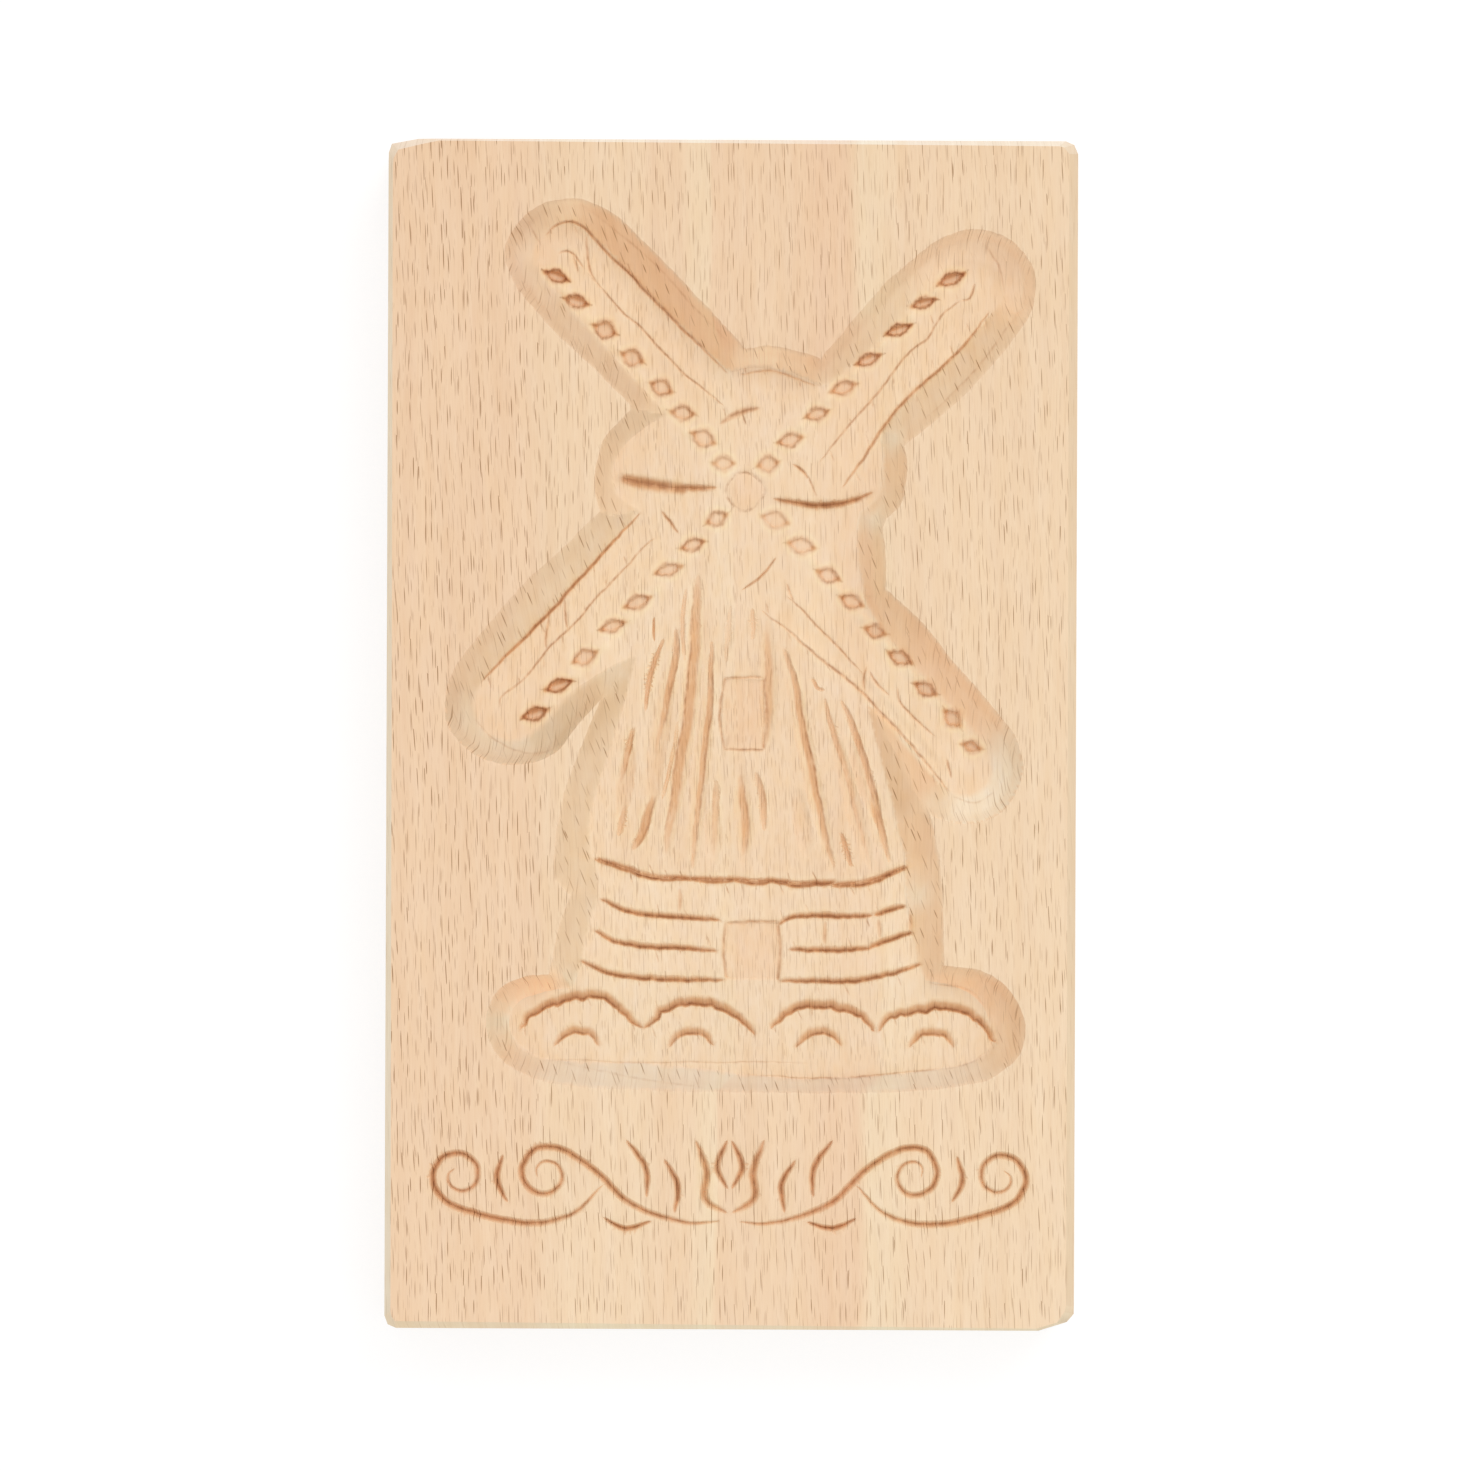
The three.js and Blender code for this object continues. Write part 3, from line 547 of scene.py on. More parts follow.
# Window and door: a shallow panel inside a fine line
for points in (
    [(-3.1, -32.8), (3.8, -32.7)],
    [(-3.1, -32.8), (-4, -39), (-3.1, -45.2)],
    [(-3.1, -45.2), (3.8, -45.1)],
    [(-2.6, -75.4), (-3.1, -80.5), (-2.6, -85.2)],
    [(-2.6, -75.4), (6.2, -75)],
    [(6.6, -75.6), (6.9, -80.5), (6.6, -85.4)],
):
    millCut("tick", points, strong=0.58, taper=0.15, jag=0.16)
millCut("tick", [(3.8, -32.7), (4.3, -39), (3.9, -45.1)], 1.3, 0.75, 0.15)

# The bushes on the mound and the small arc under each
bushes = [
    [
        (-38.6, -94.2), (-36, -91.4), (-32.5, -89.7), (-28, -88.9), (-23.8, -88.9), (-20.6, -91.4),
        (-17.2, -93.9),
    ],
    [(-16.8, -93.9), (-12.5, -90.6), (-8.6, -89.9), (-5.2, -90), (-1.5, -91.6), (2.8, -95)],
    [(5.2, -93.9), (8, -91.4), (11.8, -90.1), (18.8, -91.1), (23.6, -94.2)],
    [(24, -94.2), (26.6, -91.8), (31, -90.8), (37.9, -90.6), (42, -92.9), (44.6, -96.4)],
]
for points in bushes:
    thorns(millCut("bush", points, taper=0.3, stray=0.4, jag=0.55), 2.2, 0.8)
for points, strong in (  # where the knife's facets meet on the mound's walls
    ([(1.4, -101.9), (11.3, -102.6), (24.7, -101.9), (39.7, -99.7), (43, -97.7)], 0.7),
    ([(-34.3, -99.4), (-17.7, -99.9), (0, -99.8), (12, -99.9)], 0.45),
    ([(-32.4, -99.7), (-18.9, -102.4), (-5, -104.3)], 0.4),
    ([(32.4, -85.6), (39.7, -87.1), (42.4, -89.6)], 0.6),
):
    millCut("nick", points, strong=strong)
for x in (-28.7, -8.7, 13.6, 33.2):
    arc = [(x - 4, -97.2), (x - 1.9, -95.2), (x + 0.4, -94.7), (x + 2.4, -95.3), (x + 4.1, -97)]
    thorns(millCut("twig", arc, jag=0.3), 2.2, 0.6)
print("cuts drawn:", len(cuts))

# The ornament below the mill: half a tulip, then a stem with two curls and its leaves, mirrored
ornament = {
    "y": -77.6,
    "halfLength": 52.0,
    "height": 15.0,
    "curlRadius": 5.0,
    "curlEnd": 1.5,
    "curlPoints": 9,
}


def curl(eyeX, eyeY, startAngle, sweep):
    share = np.linspace(0, 1, ornament["curlPoints"] + 1)
    radius = mix(ornament["curlRadius"], ornament["curlEnd"], share)
    angle = np.radians(startAngle + sweep * share)
    return list(zip(eyeX + radius * np.cos(angle), eyeY + radius * np.sin(angle)))


def ornamentLines():
    h = ornament["height"] / 2
    r = ornament["curlRadius"]
    far = ornament["halfLength"] - r
    near = far - 3 * r
    stem = [(1.6, -0.95 * h), (near - 5 * r, -0.98 * h), (near - 3 * r, -0.55 * h), (near - 1.6 * r, 0.3 * h)]
    tendril = [(near - 2 * r, -0.1 * h), (near - r, -0.75 * h), (near + 0.35 * r, -h), (far - r, -0.85 * h)]
    return [
        ([(0.4, -0.75 * h), (4.4, -0.4 * h), (4, 0.2 * h), (6, 0.95 * h)], 1.15),
        ([(0.3, -0.2 * h), (2.2, 0.3 * h), (0.3, 0.95 * h)], 0.9),
        (stem + curl(near, 0.15 * h, 120, -500), 1.0),
        (tendril + curl(far, 0.1 * h, -60, 480), 1.0),
        ([(9.5, -0.75 * h), (9, -0.1 * h), (11.4, 0.5 * h)], 0.9),
        ([(14.5, -0.4 * h), (14.6, 0.3 * h), (18, 0.95 * h)], 0.9),
        ([(13.5, -0.95 * h), (18, -1.1 * h), (22, -0.85 * h)], 0.8),
        ([(near + 1.3 * r, -0.5 * h), (near + 1.7 * r, 0), (near + 1.5 * r, 0.6 * h)], 0.9),
    ]


for points, wide in ornamentLines():
    for side in (1, -1):
        cut("stroke", [(side * x, ornament["y"] + y) for x, y in points], wide, stray=0.2)


# The row of eyes on each sail: a rounded pit with a tail at each end and a flat bottom, shallow near the hub.
# An eye is its place along and across the sail, half its length and height, its slant and how dark it is.
eye = {
    "round": 1.45,  # 2 is an ellipse, and less is more pointed
    "longer": 1.05,
    "higher": 1.06,
    "wall": 0.5,
    "ragged": (0.22, 0.8),  # how far its rim strays, and over what length
    "tail": 1.6,
    "tailFrom": 0.3,  # how far inside the corner it begins
    "tailLift": 0.4,
    "tailTurn": 2.7,
    "tailThins": 0.16,
    "ring": 0.55,  # how wide the orange painted shade is round it
    "ringOrange": (0.3, 0.8),  # how orange it is round a light eye and round the darkest
    "corner": (0.6, 0.42),  # how wide and high it is at the corners
    "cornerOrange": (0.3, 1.6),
    # the pink painted shade in the pit, for a light eye and for the darkest
    "pink": (0.25, 0.55),
    "line": (0.35, 0.85),  # how dark its line is at most
    "pale": (0.4, 0.75),  # how wide the pale painted highlight is, and how far out
    "paleOnWall": 0.2,
    "shaded": 0.7,  # from how dark an eye its upper wall gets an orange painted shade too
    "upper": (0.9, 0.4, 0.45),  # how wide, how high and how far up, as shares of the eye
    "upperOrange": 1.7,
    "reach": 3.6,  # how far from its middle it marks the wood
    "depthAtHub": 0.4,
    "depthAtEnd": 1.0,
}


def eyePlaces():
    places = []
    for sail in sails.values():
        for i, (along, across, length, height, slant, dark) in enumerate(sail["eyes"]):
            c, s = math.cos(math.radians(slant)), math.sin(math.radians(slant))
            places.append({
                "middle": np.array(onSail(sail, [(along, across)])[0]),
                "axes": np.array([[c, s], [-s, c]]),
                "halfLength": eye["longer"] * length,
                "halfHeight": eye["higher"] * height,
                "depth": mix(eye["depthAtHub"], eye["depthAtEnd"], i / (len(sail["eyes"]) - 1)),
                "dark": dark,
                "lift": eye["tailLift"] * math.sin(eye["tailTurn"] * i + sail["turn"]),
            })
    return places


eyes = eyePlaces()


# The face's edge and the plank's outline meet in a sanded chamfer, wider on the right and round the corners.
# Each row is from one of the plank's corners: a place on the face's edge, the place outside it, and how far
# the chamfer drops between them.
halfWidth, halfLength = boardWidth / 2, boardLength / 2
chamfer = [
    ((0.75, -4.9), (0, -4.6), 0.55), ((0.9, -3.4), (0, -2.4), 1.2), ((1.7, -2.6), (0.5, -0.8), 2.0),
    ((3.1, -1.9), (2.0, 0), 2.0), ((5.7, -1.0), (5.2, 0), 1.1), ((8.8, -0.35), (8.5, 0), 0.45),
    ((-3.4, -0.95), (-2.2, 0), 1.0), ((-2.5, -1.15), (-0.7, -0.6), 1.4), ((-1.6, -2.3), (0, -2.2), 1.4),
    ((-1.75, -6.5), (0, -6.5), 1.2),
    ((-1.4, 4.4), (0, 4.2), 1.0), ((-1.7, 3.3), (0, 2.9), 1.4), ((-3.4, 2.2), (-1.2, 1.4), 2.3),
    ((-4.7, 1.3), (-2.4, 0), 2.1), ((-6.6, 0.4), (-6.2, 0), 0.5),
    ((3.8, 1.6), (3.6, 0), 1.2), ((2.3, 1.75), (2.0, 0), 1.5), ((1.3, 2.1), (0.55, 0.6), 1.8),
    ((1.1, 3.0), (0, 2.2), 1.0),
]
corners = [(-1, 1)] * 6 + [(1, 1)] * 4 + [(1, -1)] * 5 + [(-1, -1)] * 4
backArris = 1.1
edgeStep = 1.5


def edgeLoops():
    marks = []
    for (inside, outside, drop), (cx, cy) in zip(chamfer, corners):
        corner = np.array([cx * halfWidth, cy * halfLength])
        marks.append(np.concatenate([corner + inside, corner + outside, [drop]]))
    places = []
    for mark, following in zip(marks, marks[1:] + marks[:1]):
        count = max(1, round(math.dist(mark[:2], following[:2]) / edgeStep))
        places += [mark * (1 - t) + following * t for t in np.linspace(0, 1, count, endpoint=False)]
    places = np.array(places)
    return places[:, :2], places[:, 2:4], places[:, 4]


faceLoop, plankLoop, chamferDrop = edgeLoops()


# Where the carved face has its points: close together in the hollow and closest along the cuts
spacing = {
    "hollow": 0.56,
    "apron": 0.9,  # just outside the hollow and the ornament's strokes
    "apronReach": 2.2,
    "face": 2.6,
    "eye": 0.24,
    "eyeBox": (3.0, 1.8),
    "row": 0.87,  # from row to row, as a share of the points' distance
    "shift": 0.12,
    "besideKeel": (0.15, 0.36, 0.3, 0.05),  # the first row, the second, from row to row, past the rim
    "fromLines": 0.12,  # the least distance from the points that are already there
    "fromCuts": 0.13,
    "share": 0.55,  # the same, as a share of the points' own distance
    "apronShare": 0.6,
}


def isInside(outline, places):
    x, y = places[:, 0], places[:, 1]
    inside = np.zeros(len(places), bool)
    for a, b in zip(outline, np.roll(outline, -1, axis=0)):
        if a[1] != b[1]:
            crosses = (a[1] > y) != (b[1] > y)
            inside ^= crosses & (x < (b[0] - a[0]) * (y - a[1]) / (b[1] - a[1]) + a[0])
    return inside


def nearTree(places):
    tree = kdtree.KDTree(len(places))
    for i, place in enumerate(places):
        tree.insert((place[0], place[1], 0), i)
    tree.balance()
    return tree


def distanceTo(outline, places):
    # how far each place is from a closed outline, what the outline's third number is there, and where that is
    tree = nearTree(outline)
    nearest = np.array([tree.find((x, y, 0))[1] for x, y in places])
    best = np.full(len(places), np.inf)
    value = np.zeros(len(places))
    foot = np.zeros((len(places), 2))
    for shift in (-1, 0):
        a = outline[(nearest + shift) % len(outline)]
        b = outline[(nearest + shift + 1) % len(outline)]
        side = b[:, :2] - a[:, :2]
        t = np.sum((places - a[:, :2]) * side, axis=1) / np.maximum(np.sum(side ** 2, axis=1), 1e-9)
        t = np.clip(t, 0, 1)
        onLine = a[:, :2] + side * t[:, None]
        distance = np.hypot(*(places - onLine).T)
        closer = distance < best
        best[closer] = distance[closer]
        foot[closer] = onLine[closer]
        if outline.shape[1] > 2:
            value[closer] = (a[:, 2] + (b[:, 2] - a[:, 2]) * t)[closer]
    return best, value, foot


def staggered(step, low, high):
    places = []
    for i, y in enumerate(np.arange(low[1], high[1], step * spacing["row"])):
        x = np.arange(low[0] + (i % 2) * step / 2, high[0], step)
        places.append(np.column_stack([x, np.full(len(x), y)]))
    places = np.vstack(places)
    return places + rng.uniform(-spacing["shift"], spacing["shift"], places.shape) * step


def keepApart(places, others, least, most=math.inf):
    tree = nearTree(others)
    away = np.array([tree.find((x, y, 0))[2] for x, y in places])
    return places[(away > least) & (away < most)]


def besideCut(one):
    # rows of points along a cut: close beside its keel, then wider apart out to its rims
    normal = sideways(one["line"])
    first, second, step, past = spacing["besideKeel"]
    rows = []
    for side, half in ((1, one["left"] * one["wide"]), (-1, one["right"] * one["wide"])):
        for number, reach in enumerate([first, *np.arange(second, half, step), half + past]):
            row = one["line"] + normal * reach * side
            rows.append(row[1:-1] if number < 2 else row[1:-1:2])
    return np.vstack(rows)


def pitPoints(place):
    wide, high = spacing["eyeBox"]
    return place["middle"] + staggered(spacing["eye"], (-wide, -high), (wide, high)) @ place["axes"]


def facePoints():
    lines = [(faceLoop, True), (rim, True), (floor, True), (skirt, False)]
    lines += [(one["line"], False) for one in cuts]
    edges, start = [], 0
    for line, closed in lines:
        count = len(line)
        edges += [(start + i, start + (i + 1) % count) for i in range(count if closed else count - 1)]
        start += count

    low, high = faceLoop.min(0) + 1, faceLoop.max(0) - 1
    rows = np.vstack([besideCut(one) for one in cuts])
    pits = np.vstack([pitPoints(place) for place in eyes])
    hollow = staggered(spacing["hollow"], rim[:, :2].min(0) - 1, rim[:, :2].max(0) + 1)
    hollow = hollow[isInside(rim, hollow)]
    apron = staggered(spacing["apron"], low, high)
    face = staggered(spacing["face"], low, high)
    placed = np.vstack([line[:, :2] for line, _ in lines])
    for places, least, most in (
        (rows, spacing["fromLines"], math.inf),
        (pits, spacing["fromCuts"], math.inf),
        (hollow, spacing["hollow"] * spacing["share"], math.inf),
        (apron, spacing["apron"] * spacing["apronShare"], spacing["apronReach"]),
        (face, spacing["face"] * spacing["share"], math.inf),
    ):
        placed = np.vstack([placed, keepApart(places, placed, least, most)])
    return placed, edges


placed, keptEdges = facePoints()
print("face points:", len(placed))
found = delaunay_2d_cdt([Vector(p) for p in placed], keptEdges, [], 1, 1e-4, False)
facePlan = np.array([tuple(p) for p in found[0]])
faceTriangles = np.array(found[2])
inRim = isInside(rim, facePlan)
print("face mesh:", len(facePlan), "points,", len(faceTriangles), "triangles")


# What marks the wood at each of the face's points, and the light and shade painted on it: how far it is from
# a cut's keel and from an eye's rim, how wide and dark those lines are, and how much orange painted shade,
# pink, pale painted highlight and torn wood there is
marksAndPaintedLight = {name: np.zeros(len(facePlan)) for name in ("dark", "orange", "pink", "pale", "torn", "pitDark")}
for name, start in (("keel", 6.0), ("core", 0.3), ("pit", 3.0)):
    marksAndPaintedLight[name] = np.full(len(facePlan), start)


def deepen(name, amount, near=slice(None)):
    # a mark is as strong as the strongest of what makes it
    marksAndPaintedLight[name][near] = np.maximum(marksAndPaintedLight[name][near], amount)


# The shape of the hollow's walls: a long slope and a steeper band below the rim, most so over a soft foot
wall = {
    "kink": 0.6,  # how far up the wall, seen from above, the band begins
    "kinkHeight": 0.55,
    "softKinkHeight": 0.36,
    "kinkWander": (0.06, 14),
    "rimRound": 0.14,
    "flatFrom": 2,  # how far outside the rim the face is flat
    "softFoot": 0.5,  # what counts as a wholly soft foot
    "softKink": 0.4,
    "hardFoot": 0.06,
    "softStart": 1.2,  # how far from the floor a soft foot's tone is whole
    "toneStart": (0.15, 3),  # and the wall's own, at a hard foot and more for a soft one
    "toneOnSoft": 0.2,
    "toneAtRim": (0.4, 0.6),  # how much of it the rim shows, and how far inside it is whole
    "calm": (1, 3),  # from how far inside the rim the rays are fainter, and over what length
    "torn": (0.45, 0.4),  # how wide the torn wood is at the rim and at a hard foot
    "tornMean": 0.6,
    "skirtStep": 0.3,
}


def hollowHeight(places):
    skirtY = np.interp(places[:, 0], skirt[:, 0], skirt[:, 1])
    above = smoothStep((places[:, 1] - skirtY) / wall["skirtStep"] + 0.5)
    depth = mix(body["lowerDepth"], body["upperDepth"], above)
    toFloor, soft, floorPlace = distanceTo(floor, places)
    toRim, _, rimPlace = distanceTo(rim, places)
    toFloor[isInside(floor, places)] = 0
    share = np.where(inRim, toFloor / np.maximum(toFloor + toRim, 1e-6), 1.0)
    eased = (np.sqrt(share ** 2 + soft ** 2) - soft) / (np.sqrt(1 + soft ** 2) - soft)
    kink = wall["kink"]
    lift = mix(wall["kinkHeight"], wall["softKinkHeight"], smoothStep(soft / wall["softKink"]))
    lift = lift + uneven(places, wall["kinkWander"], 40)
    profile = np.where(eased < kink, eased / kink * lift, lift + (eased - kink) / (1 - kink) * (1 - lift))
    below = np.where(inRim, depth * (1 - profile), -toRim)
    height = -0.5 * (below + np.sqrt(below ** 2 + wall["rimRound"] * wall["rimRound"]))
    height[(~inRim) & (toRim > wall["flatFrom"])] = 0
    softFoot = smoothStep(soft / wall["softFoot"])
    # how soft each foot is, which way each wall faces and how much of it counts as wall: these set its tone
    # of painted light and shade, and its rays
    marksAndPaintedLight["soft"] = softFoot * inRim * smoothStep(toFloor / wall["softStart"])
    marksAndPaintedLight["facing"] = np.degrees(np.arctan2(*(floorPlace - rimPlace).T[::-1]))
    start, more = wall["toneStart"]
    marksAndPaintedLight["wall"] = smoothStep(toFloor / (start + more * soft)) * inRim * mix(1, wall["toneOnSoft"], softFoot)
    least, whole = wall["toneAtRim"]
    marksAndPaintedLight["wall"] *= mix(least, 1, smoothStep(toRim / whole))
    marksAndPaintedLight["calm"] = ramp(toRim, *wall["calm"]) * inRim
    atRim, atFoot = wall["torn"]
    torn = 0.5 * bell(toRim, atRim) + 0.5 * bell(toFloor, atFoot) * (soft < wall["hardFoot"])
    deepen("torn", torn * (wall["tornMean"] + roughness(places, 3, 44)))
    return height


def alongCut(one, places, margin):
    # for the places near a cut: which they are, how far across it and how far along
    line = one["line"]
    low, high = line.min(0) - margin, line.max(0) + margin
    near = np.flatnonzero(np.all((places > low) & (places < high), axis=1))
    sides = line[1:] - line[:-1]
    lengths = np.hypot(*sides.T)
    run = np.concatenate([[0], np.cumsum(lengths)])
    best = np.full(len(near), np.inf)
    across, share = np.zeros(len(near)), np.zeros(len(near))
    for start, side, length, before in zip(line, sides, lengths, run):
        away = places[near] - start
        t = np.clip(away @ side / length ** 2, 0, 1)
        distance = np.hypot(*(away - t[:, None] * side).T)
        closer = distance < best
        best[closer] = distance[closer]
        turn = side[0] * away[:, 1] - side[1] * away[:, 0]
        across[closer] = (np.sign(turn) * distance)[closer]
        share[closer] = ((before + t * length) / run[-1])[closer]
    keep = best < margin
    return near[keep], across[keep], share[keep]


gouge = {
    "ragged": (0.14, 1.6),  # how far a cut's rims stray, as a share of its width, and over what length
    "orange": (1.35, -1.1),  # where the orange painted shade ends and how slowly, in half widths
    "pale": (0.35, 0.2),  # how wide the pale painted highlight is, and how far outside the rim
    "torn": (0.1, 0.75, 0.5),  # how far from the keel torn wood begins, how far it goes, and how much
    "faintDepth": 0.35,  # what a cut's strength is raised by for its depth
    "margin": (1.3, 0.9),  # how far out it marks the wood: in half widths, and beyond
}


def carveCuts(places, height):
    sunk = np.zeros(len(places))
    tornFrom, tornWide, torn = gouge["torn"]
    halves, beyond = gouge["margin"]
    for number, one in enumerate(cuts):
        margin = max(one["left"], one["right"]) * one["wide"] * halves + beyond
        near, across, share = alongCut(one, places, margin)
        swell = np.sin(np.pi * np.clip(share, 0.001, 0.999)) ** one["taper"]
        half = np.where(across > 0, one["left"], one["right"]) * one["wide"] * swell
        half = half * (1 + uneven(places[near], gouge["ragged"], 60 + number))
        away = np.abs(across)
        u = away / np.maximum(half, 0.02)
        shape = np.clip(1 - (u if one["shape"] == "vee" else u ** 3), 0, 1)
        strong = one["strong"] * swell
        dark = one["dark"] * strong
        depth = one["depth"] * shape * swell * min(1, gouge["faintDepth"] + one["strong"])
        sunk[near] = np.maximum(sunk[near], depth)
        core = one["core"] * one["wide"] ** 0.5
        nearer = away / core - dark < marksAndPaintedLight["keel"][near] / marksAndPaintedLight["core"][near] - marksAndPaintedLight["dark"][near]
        nearer &= one["dark"] > 0
        chosen = near[nearer]
        marksAndPaintedLight["keel"][chosen] = away[nearer]
        marksAndPaintedLight["core"][chosen] = core
        marksAndPaintedLight["dark"][chosen] = dark[nearer]
        # orange painted shade on the slopes and a pale painted highlight beside the rims; the torn wood is
        # the grain's own
        deepen("orange", one["orange"] * strong * ramp(u, *gouge["orange"]), near)
        deepen("pale", one["pale"] * strong * bell(away - half, *gouge["pale"]), near)
        deepen("torn", torn * dark * bell(np.maximum(away - tornFrom, 0), tornWide), near)
    return height - sunk


def carveEyes(places, height):
    for number, place in enumerate(eyes):
        near = np.flatnonzero(np.hypot(*(places - place["middle"]).T) < eye["reach"])
        away = places[near] - place["middle"]
        x, y = away @ place["axes"][0], away @ place["axes"][1]
        a, b, power, dark = place["halfLength"], place["halfHeight"], eye["round"], place["dark"]
        reach = np.maximum((np.abs(x / a) ** power + np.abs(y / b) ** power) ** (1 / power), 0.05)
        beyond = np.hypot(x, y) * (1 - 1 / reach) + uneven(away, eye["ragged"], number)
        pit = smoothStep(-beyond / eye["wall"])
        height[near] -= place["depth"] * pit
        # round the pit an orange painted shade, inside it a pink painted shade, and outside it a pale painted
        # highlight
        wide, high = eye["corner"]
        corner = mix(*eye["cornerOrange"], dark) * bell(np.abs(x) - a, wide) * bell(y, high)
        deepen("orange", bell(beyond, eye["ring"]) * mix(*eye["ringOrange"], dark) + corner, near)
        deepen("pink", mix(*eye["pink"], dark) * pit, near)
        deepen("pale", bell(beyond, *eye["pale"]) * mix(1, eye["paleOnWall"], marksAndPaintedLight["wall"][near]), near)
        toLine = np.abs(beyond)
        for side in (-1, 1):
            share = np.clip((side * x - a + eye["tailFrom"]) / eye["tail"], 0, 1)
            tail = np.abs(y - side * place["lift"] * share) + eye["tailThins"] * share
            onTail = (side * x > a - eye["tailFrom"]) & (share < 1)
            toLine = np.where(onTail, np.minimum(toLine, tail), toLine)
        lineDark = min(dark, mix(*eye["line"], dark))
        marksAndPaintedLight["pitDark"][near] = np.where(toLine <= marksAndPaintedLight["pit"][near], lineDark, marksAndPaintedLight["pitDark"][near])
        marksAndPaintedLight["pit"][near] = np.minimum(marksAndPaintedLight["pit"][near], toLine)
        if dark > eye["shaded"]:
            wide, high, up = eye["upper"]
            deepen("orange", eye["upperOrange"] * dark * bell(x, wide * a) * bell(y, high * b, up * b), near)
    return height


cloth = {
    "from": 13,  # how far from the hub it begins, and how far from the floor's end it stops
    "endAway": 4,
    "fade": 6,
    "inner": (1.6, 0.14),  # where its inner hollow begins across the sail, and how deep it is
    "outer": 0.32,
    "side": (0.5, 1.2, 0.5),  # where its wood begins across the sail, and how softly it begins and ends
    # over the cloth a pale painted highlight and a soft pink painted shade
    "pale": 0.25,
    "pink": 0.16,
}
# a raised bead with a painted highlight on it, fainter on the wall
bead = {"height": 0.4, "reach": (1.15, 0.85), "across": -0.7, "pale": 0.9, "onWall": 0.5}


def shapeSails(places, height):
    # the cloth lies in two shallow hollows, and a bead with a painted highlight stands between one eye and
    # the next; the cloth gets a painted highlight and a soft pink painted shade
    for sail in sails.values():
        along, across = overSail(sail, places - hub)
        seamAt, edgeAt = (np.interp(along, *zip(*sorted(sail[name]))) for name in ("seam", "edge"))
        reach = max(p[0] for p in sail["floor"]) - cloth["endAway"]
        fade = band(along, cloth["from"], cloth["fade"], reach, cloth["fade"])
        start, inner = cloth["inner"]
        for low, high, sink in ((start, seamAt, inner), (seamAt, edgeAt, cloth["outer"])):
            u = np.clip((across - low) / np.maximum(high - low, 0.5) * 2 - 1, -1, 1)
            height = height - sink * (1 - u * u) * fade
        start, rise, fall = cloth["side"]
        onCloth = band(across, start, rise, edgeAt, fall) * fade
        deepen("pale", cloth["pale"] * onCloth)
        deepen("pink", cloth["pink"] * onCloth)
        reachAlong, reachAcross = bead["reach"]
        for a, b in zip(sail["eyes"][1:], sail["eyes"][2:]):
            x, y = (along - (a[0] + b[0]) / 2) / reachAlong, (across - bead["across"]) / reachAcross
            onBead = np.exp(-(x ** 2 + y ** 2))
            height = height + bead["height"] * onBead
            deepen("pale", bead["pale"] * onBead * mix(1, bead["onWall"], marksAndPaintedLight["wall"]))
    return height


panel = {
    "boxes": ((-3.3, 4.0, -45.1, -32.8), (-2.9, 6.7, -85.4, -75.3)),  # the window and the door
    "depth": 0.35,
    "wall": 0.4,
    "pink": 0.4,
}


def panels(places, height):
    # the window and the door are sunk a little inside their lines, and look a little pinker
    x, y = (places - hub).T
    for x0, x1, y0, y1 in panel["boxes"]:
        inside = smoothStep(np.minimum.reduce([x - x0, x1 - x, y - y0, y1 - y]) / panel["wall"])
        height = height - panel["depth"] * inside
        deepen("pink", panel["pink"] * inside)
    return height


# the thatch gets a faint orange painted shade, fading at its sides and ends
thatched = {
    "upright": (-68, 1.5, -18, 6),  # from where to where, and how softly it begins and ends
    "halfWidth": 1.4,
    "spread": 0.38,
    "sideFade": 3,
    "middle": 1,
    "orange": 0.13,
}


def thatch(places):
    x, y = (places - hub).T
    inside = band(y, *thatched["upright"])
    side = thatched["halfWidth"] - thatched["spread"] * y - np.abs(x - thatched["middle"])
    deepen("orange", thatched["orange"] * inside * smoothStep(side / thatched["sideFade"]))


ring = {
    "middle": (0.3, -0.1),
    "radius": 3.25,
    "uneven": (0.13, 0.08),
    "depth": (0.3, 0.15),  # of its line and of the wood inside it
    "edge": (0.4, 0.5),  # how softly the pink and the depth inside it begin
    "lineWidth": 0.25,
    "reach": 0.7,
    "dark": 0.5,
    "pink": 0.35,
}


def hubRing(places, height):
    x, y = (places - hub - np.array(ring["middle"])).T
    angle = np.arctan2(y, x)
    four, three = ring["uneven"]
    beyond = np.hypot(x, y) - (ring["radius"] + four * np.cos(4 * angle) + three * np.sin(3 * angle + 1))
    near = np.abs(beyond) < ring["reach"]
    marksAndPaintedLight["pit"][near] = np.abs(beyond)[near]
    marksAndPaintedLight["pitDark"][near] = ring["dark"]
    pinkEdge, edge = ring["edge"]
    deepen("pink", ring["pink"] * smoothStep(-beyond / pinkEdge))
    line, inside = ring["depth"]
    return height - line * bell(beyond, ring["lineWidth"]) - inside * smoothStep(-beyond / edge)


handMarks = {300: (0.07, 5), 301: (0.03, 1.6)}  # by which chance: how deep and over what length
relief = hollowHeight(facePlan)
relief = shapeSails(facePlan, relief)
thatch(facePlan)
for carve in (panels, carveEyes, hubRing, carveCuts):
    relief = carve(facePlan, relief)
marks = sum(uneven(facePlan, look, seed) for seed, look in handMarks.items())
relief = np.minimum(relief + marks * inRim, 0)
print("relief:", round(float(relief.min()), 2), "mm at its deepest")


# The plank: the carved face, its edge extruded into the chamfer, the sides and the back
parts = {"face": 0, "wall": 1, "chamfer": 2, "side": 3}  # what each of the mesh's faces belongs to
smoothAngle = 32


def addLayer(mesh, name, domain, values, kind="FLOAT", field="value"):
    layer = mesh.attributes.new(name, kind, domain)
    layer.data.foreach_set(field, values.astype(np.float32).ravel())


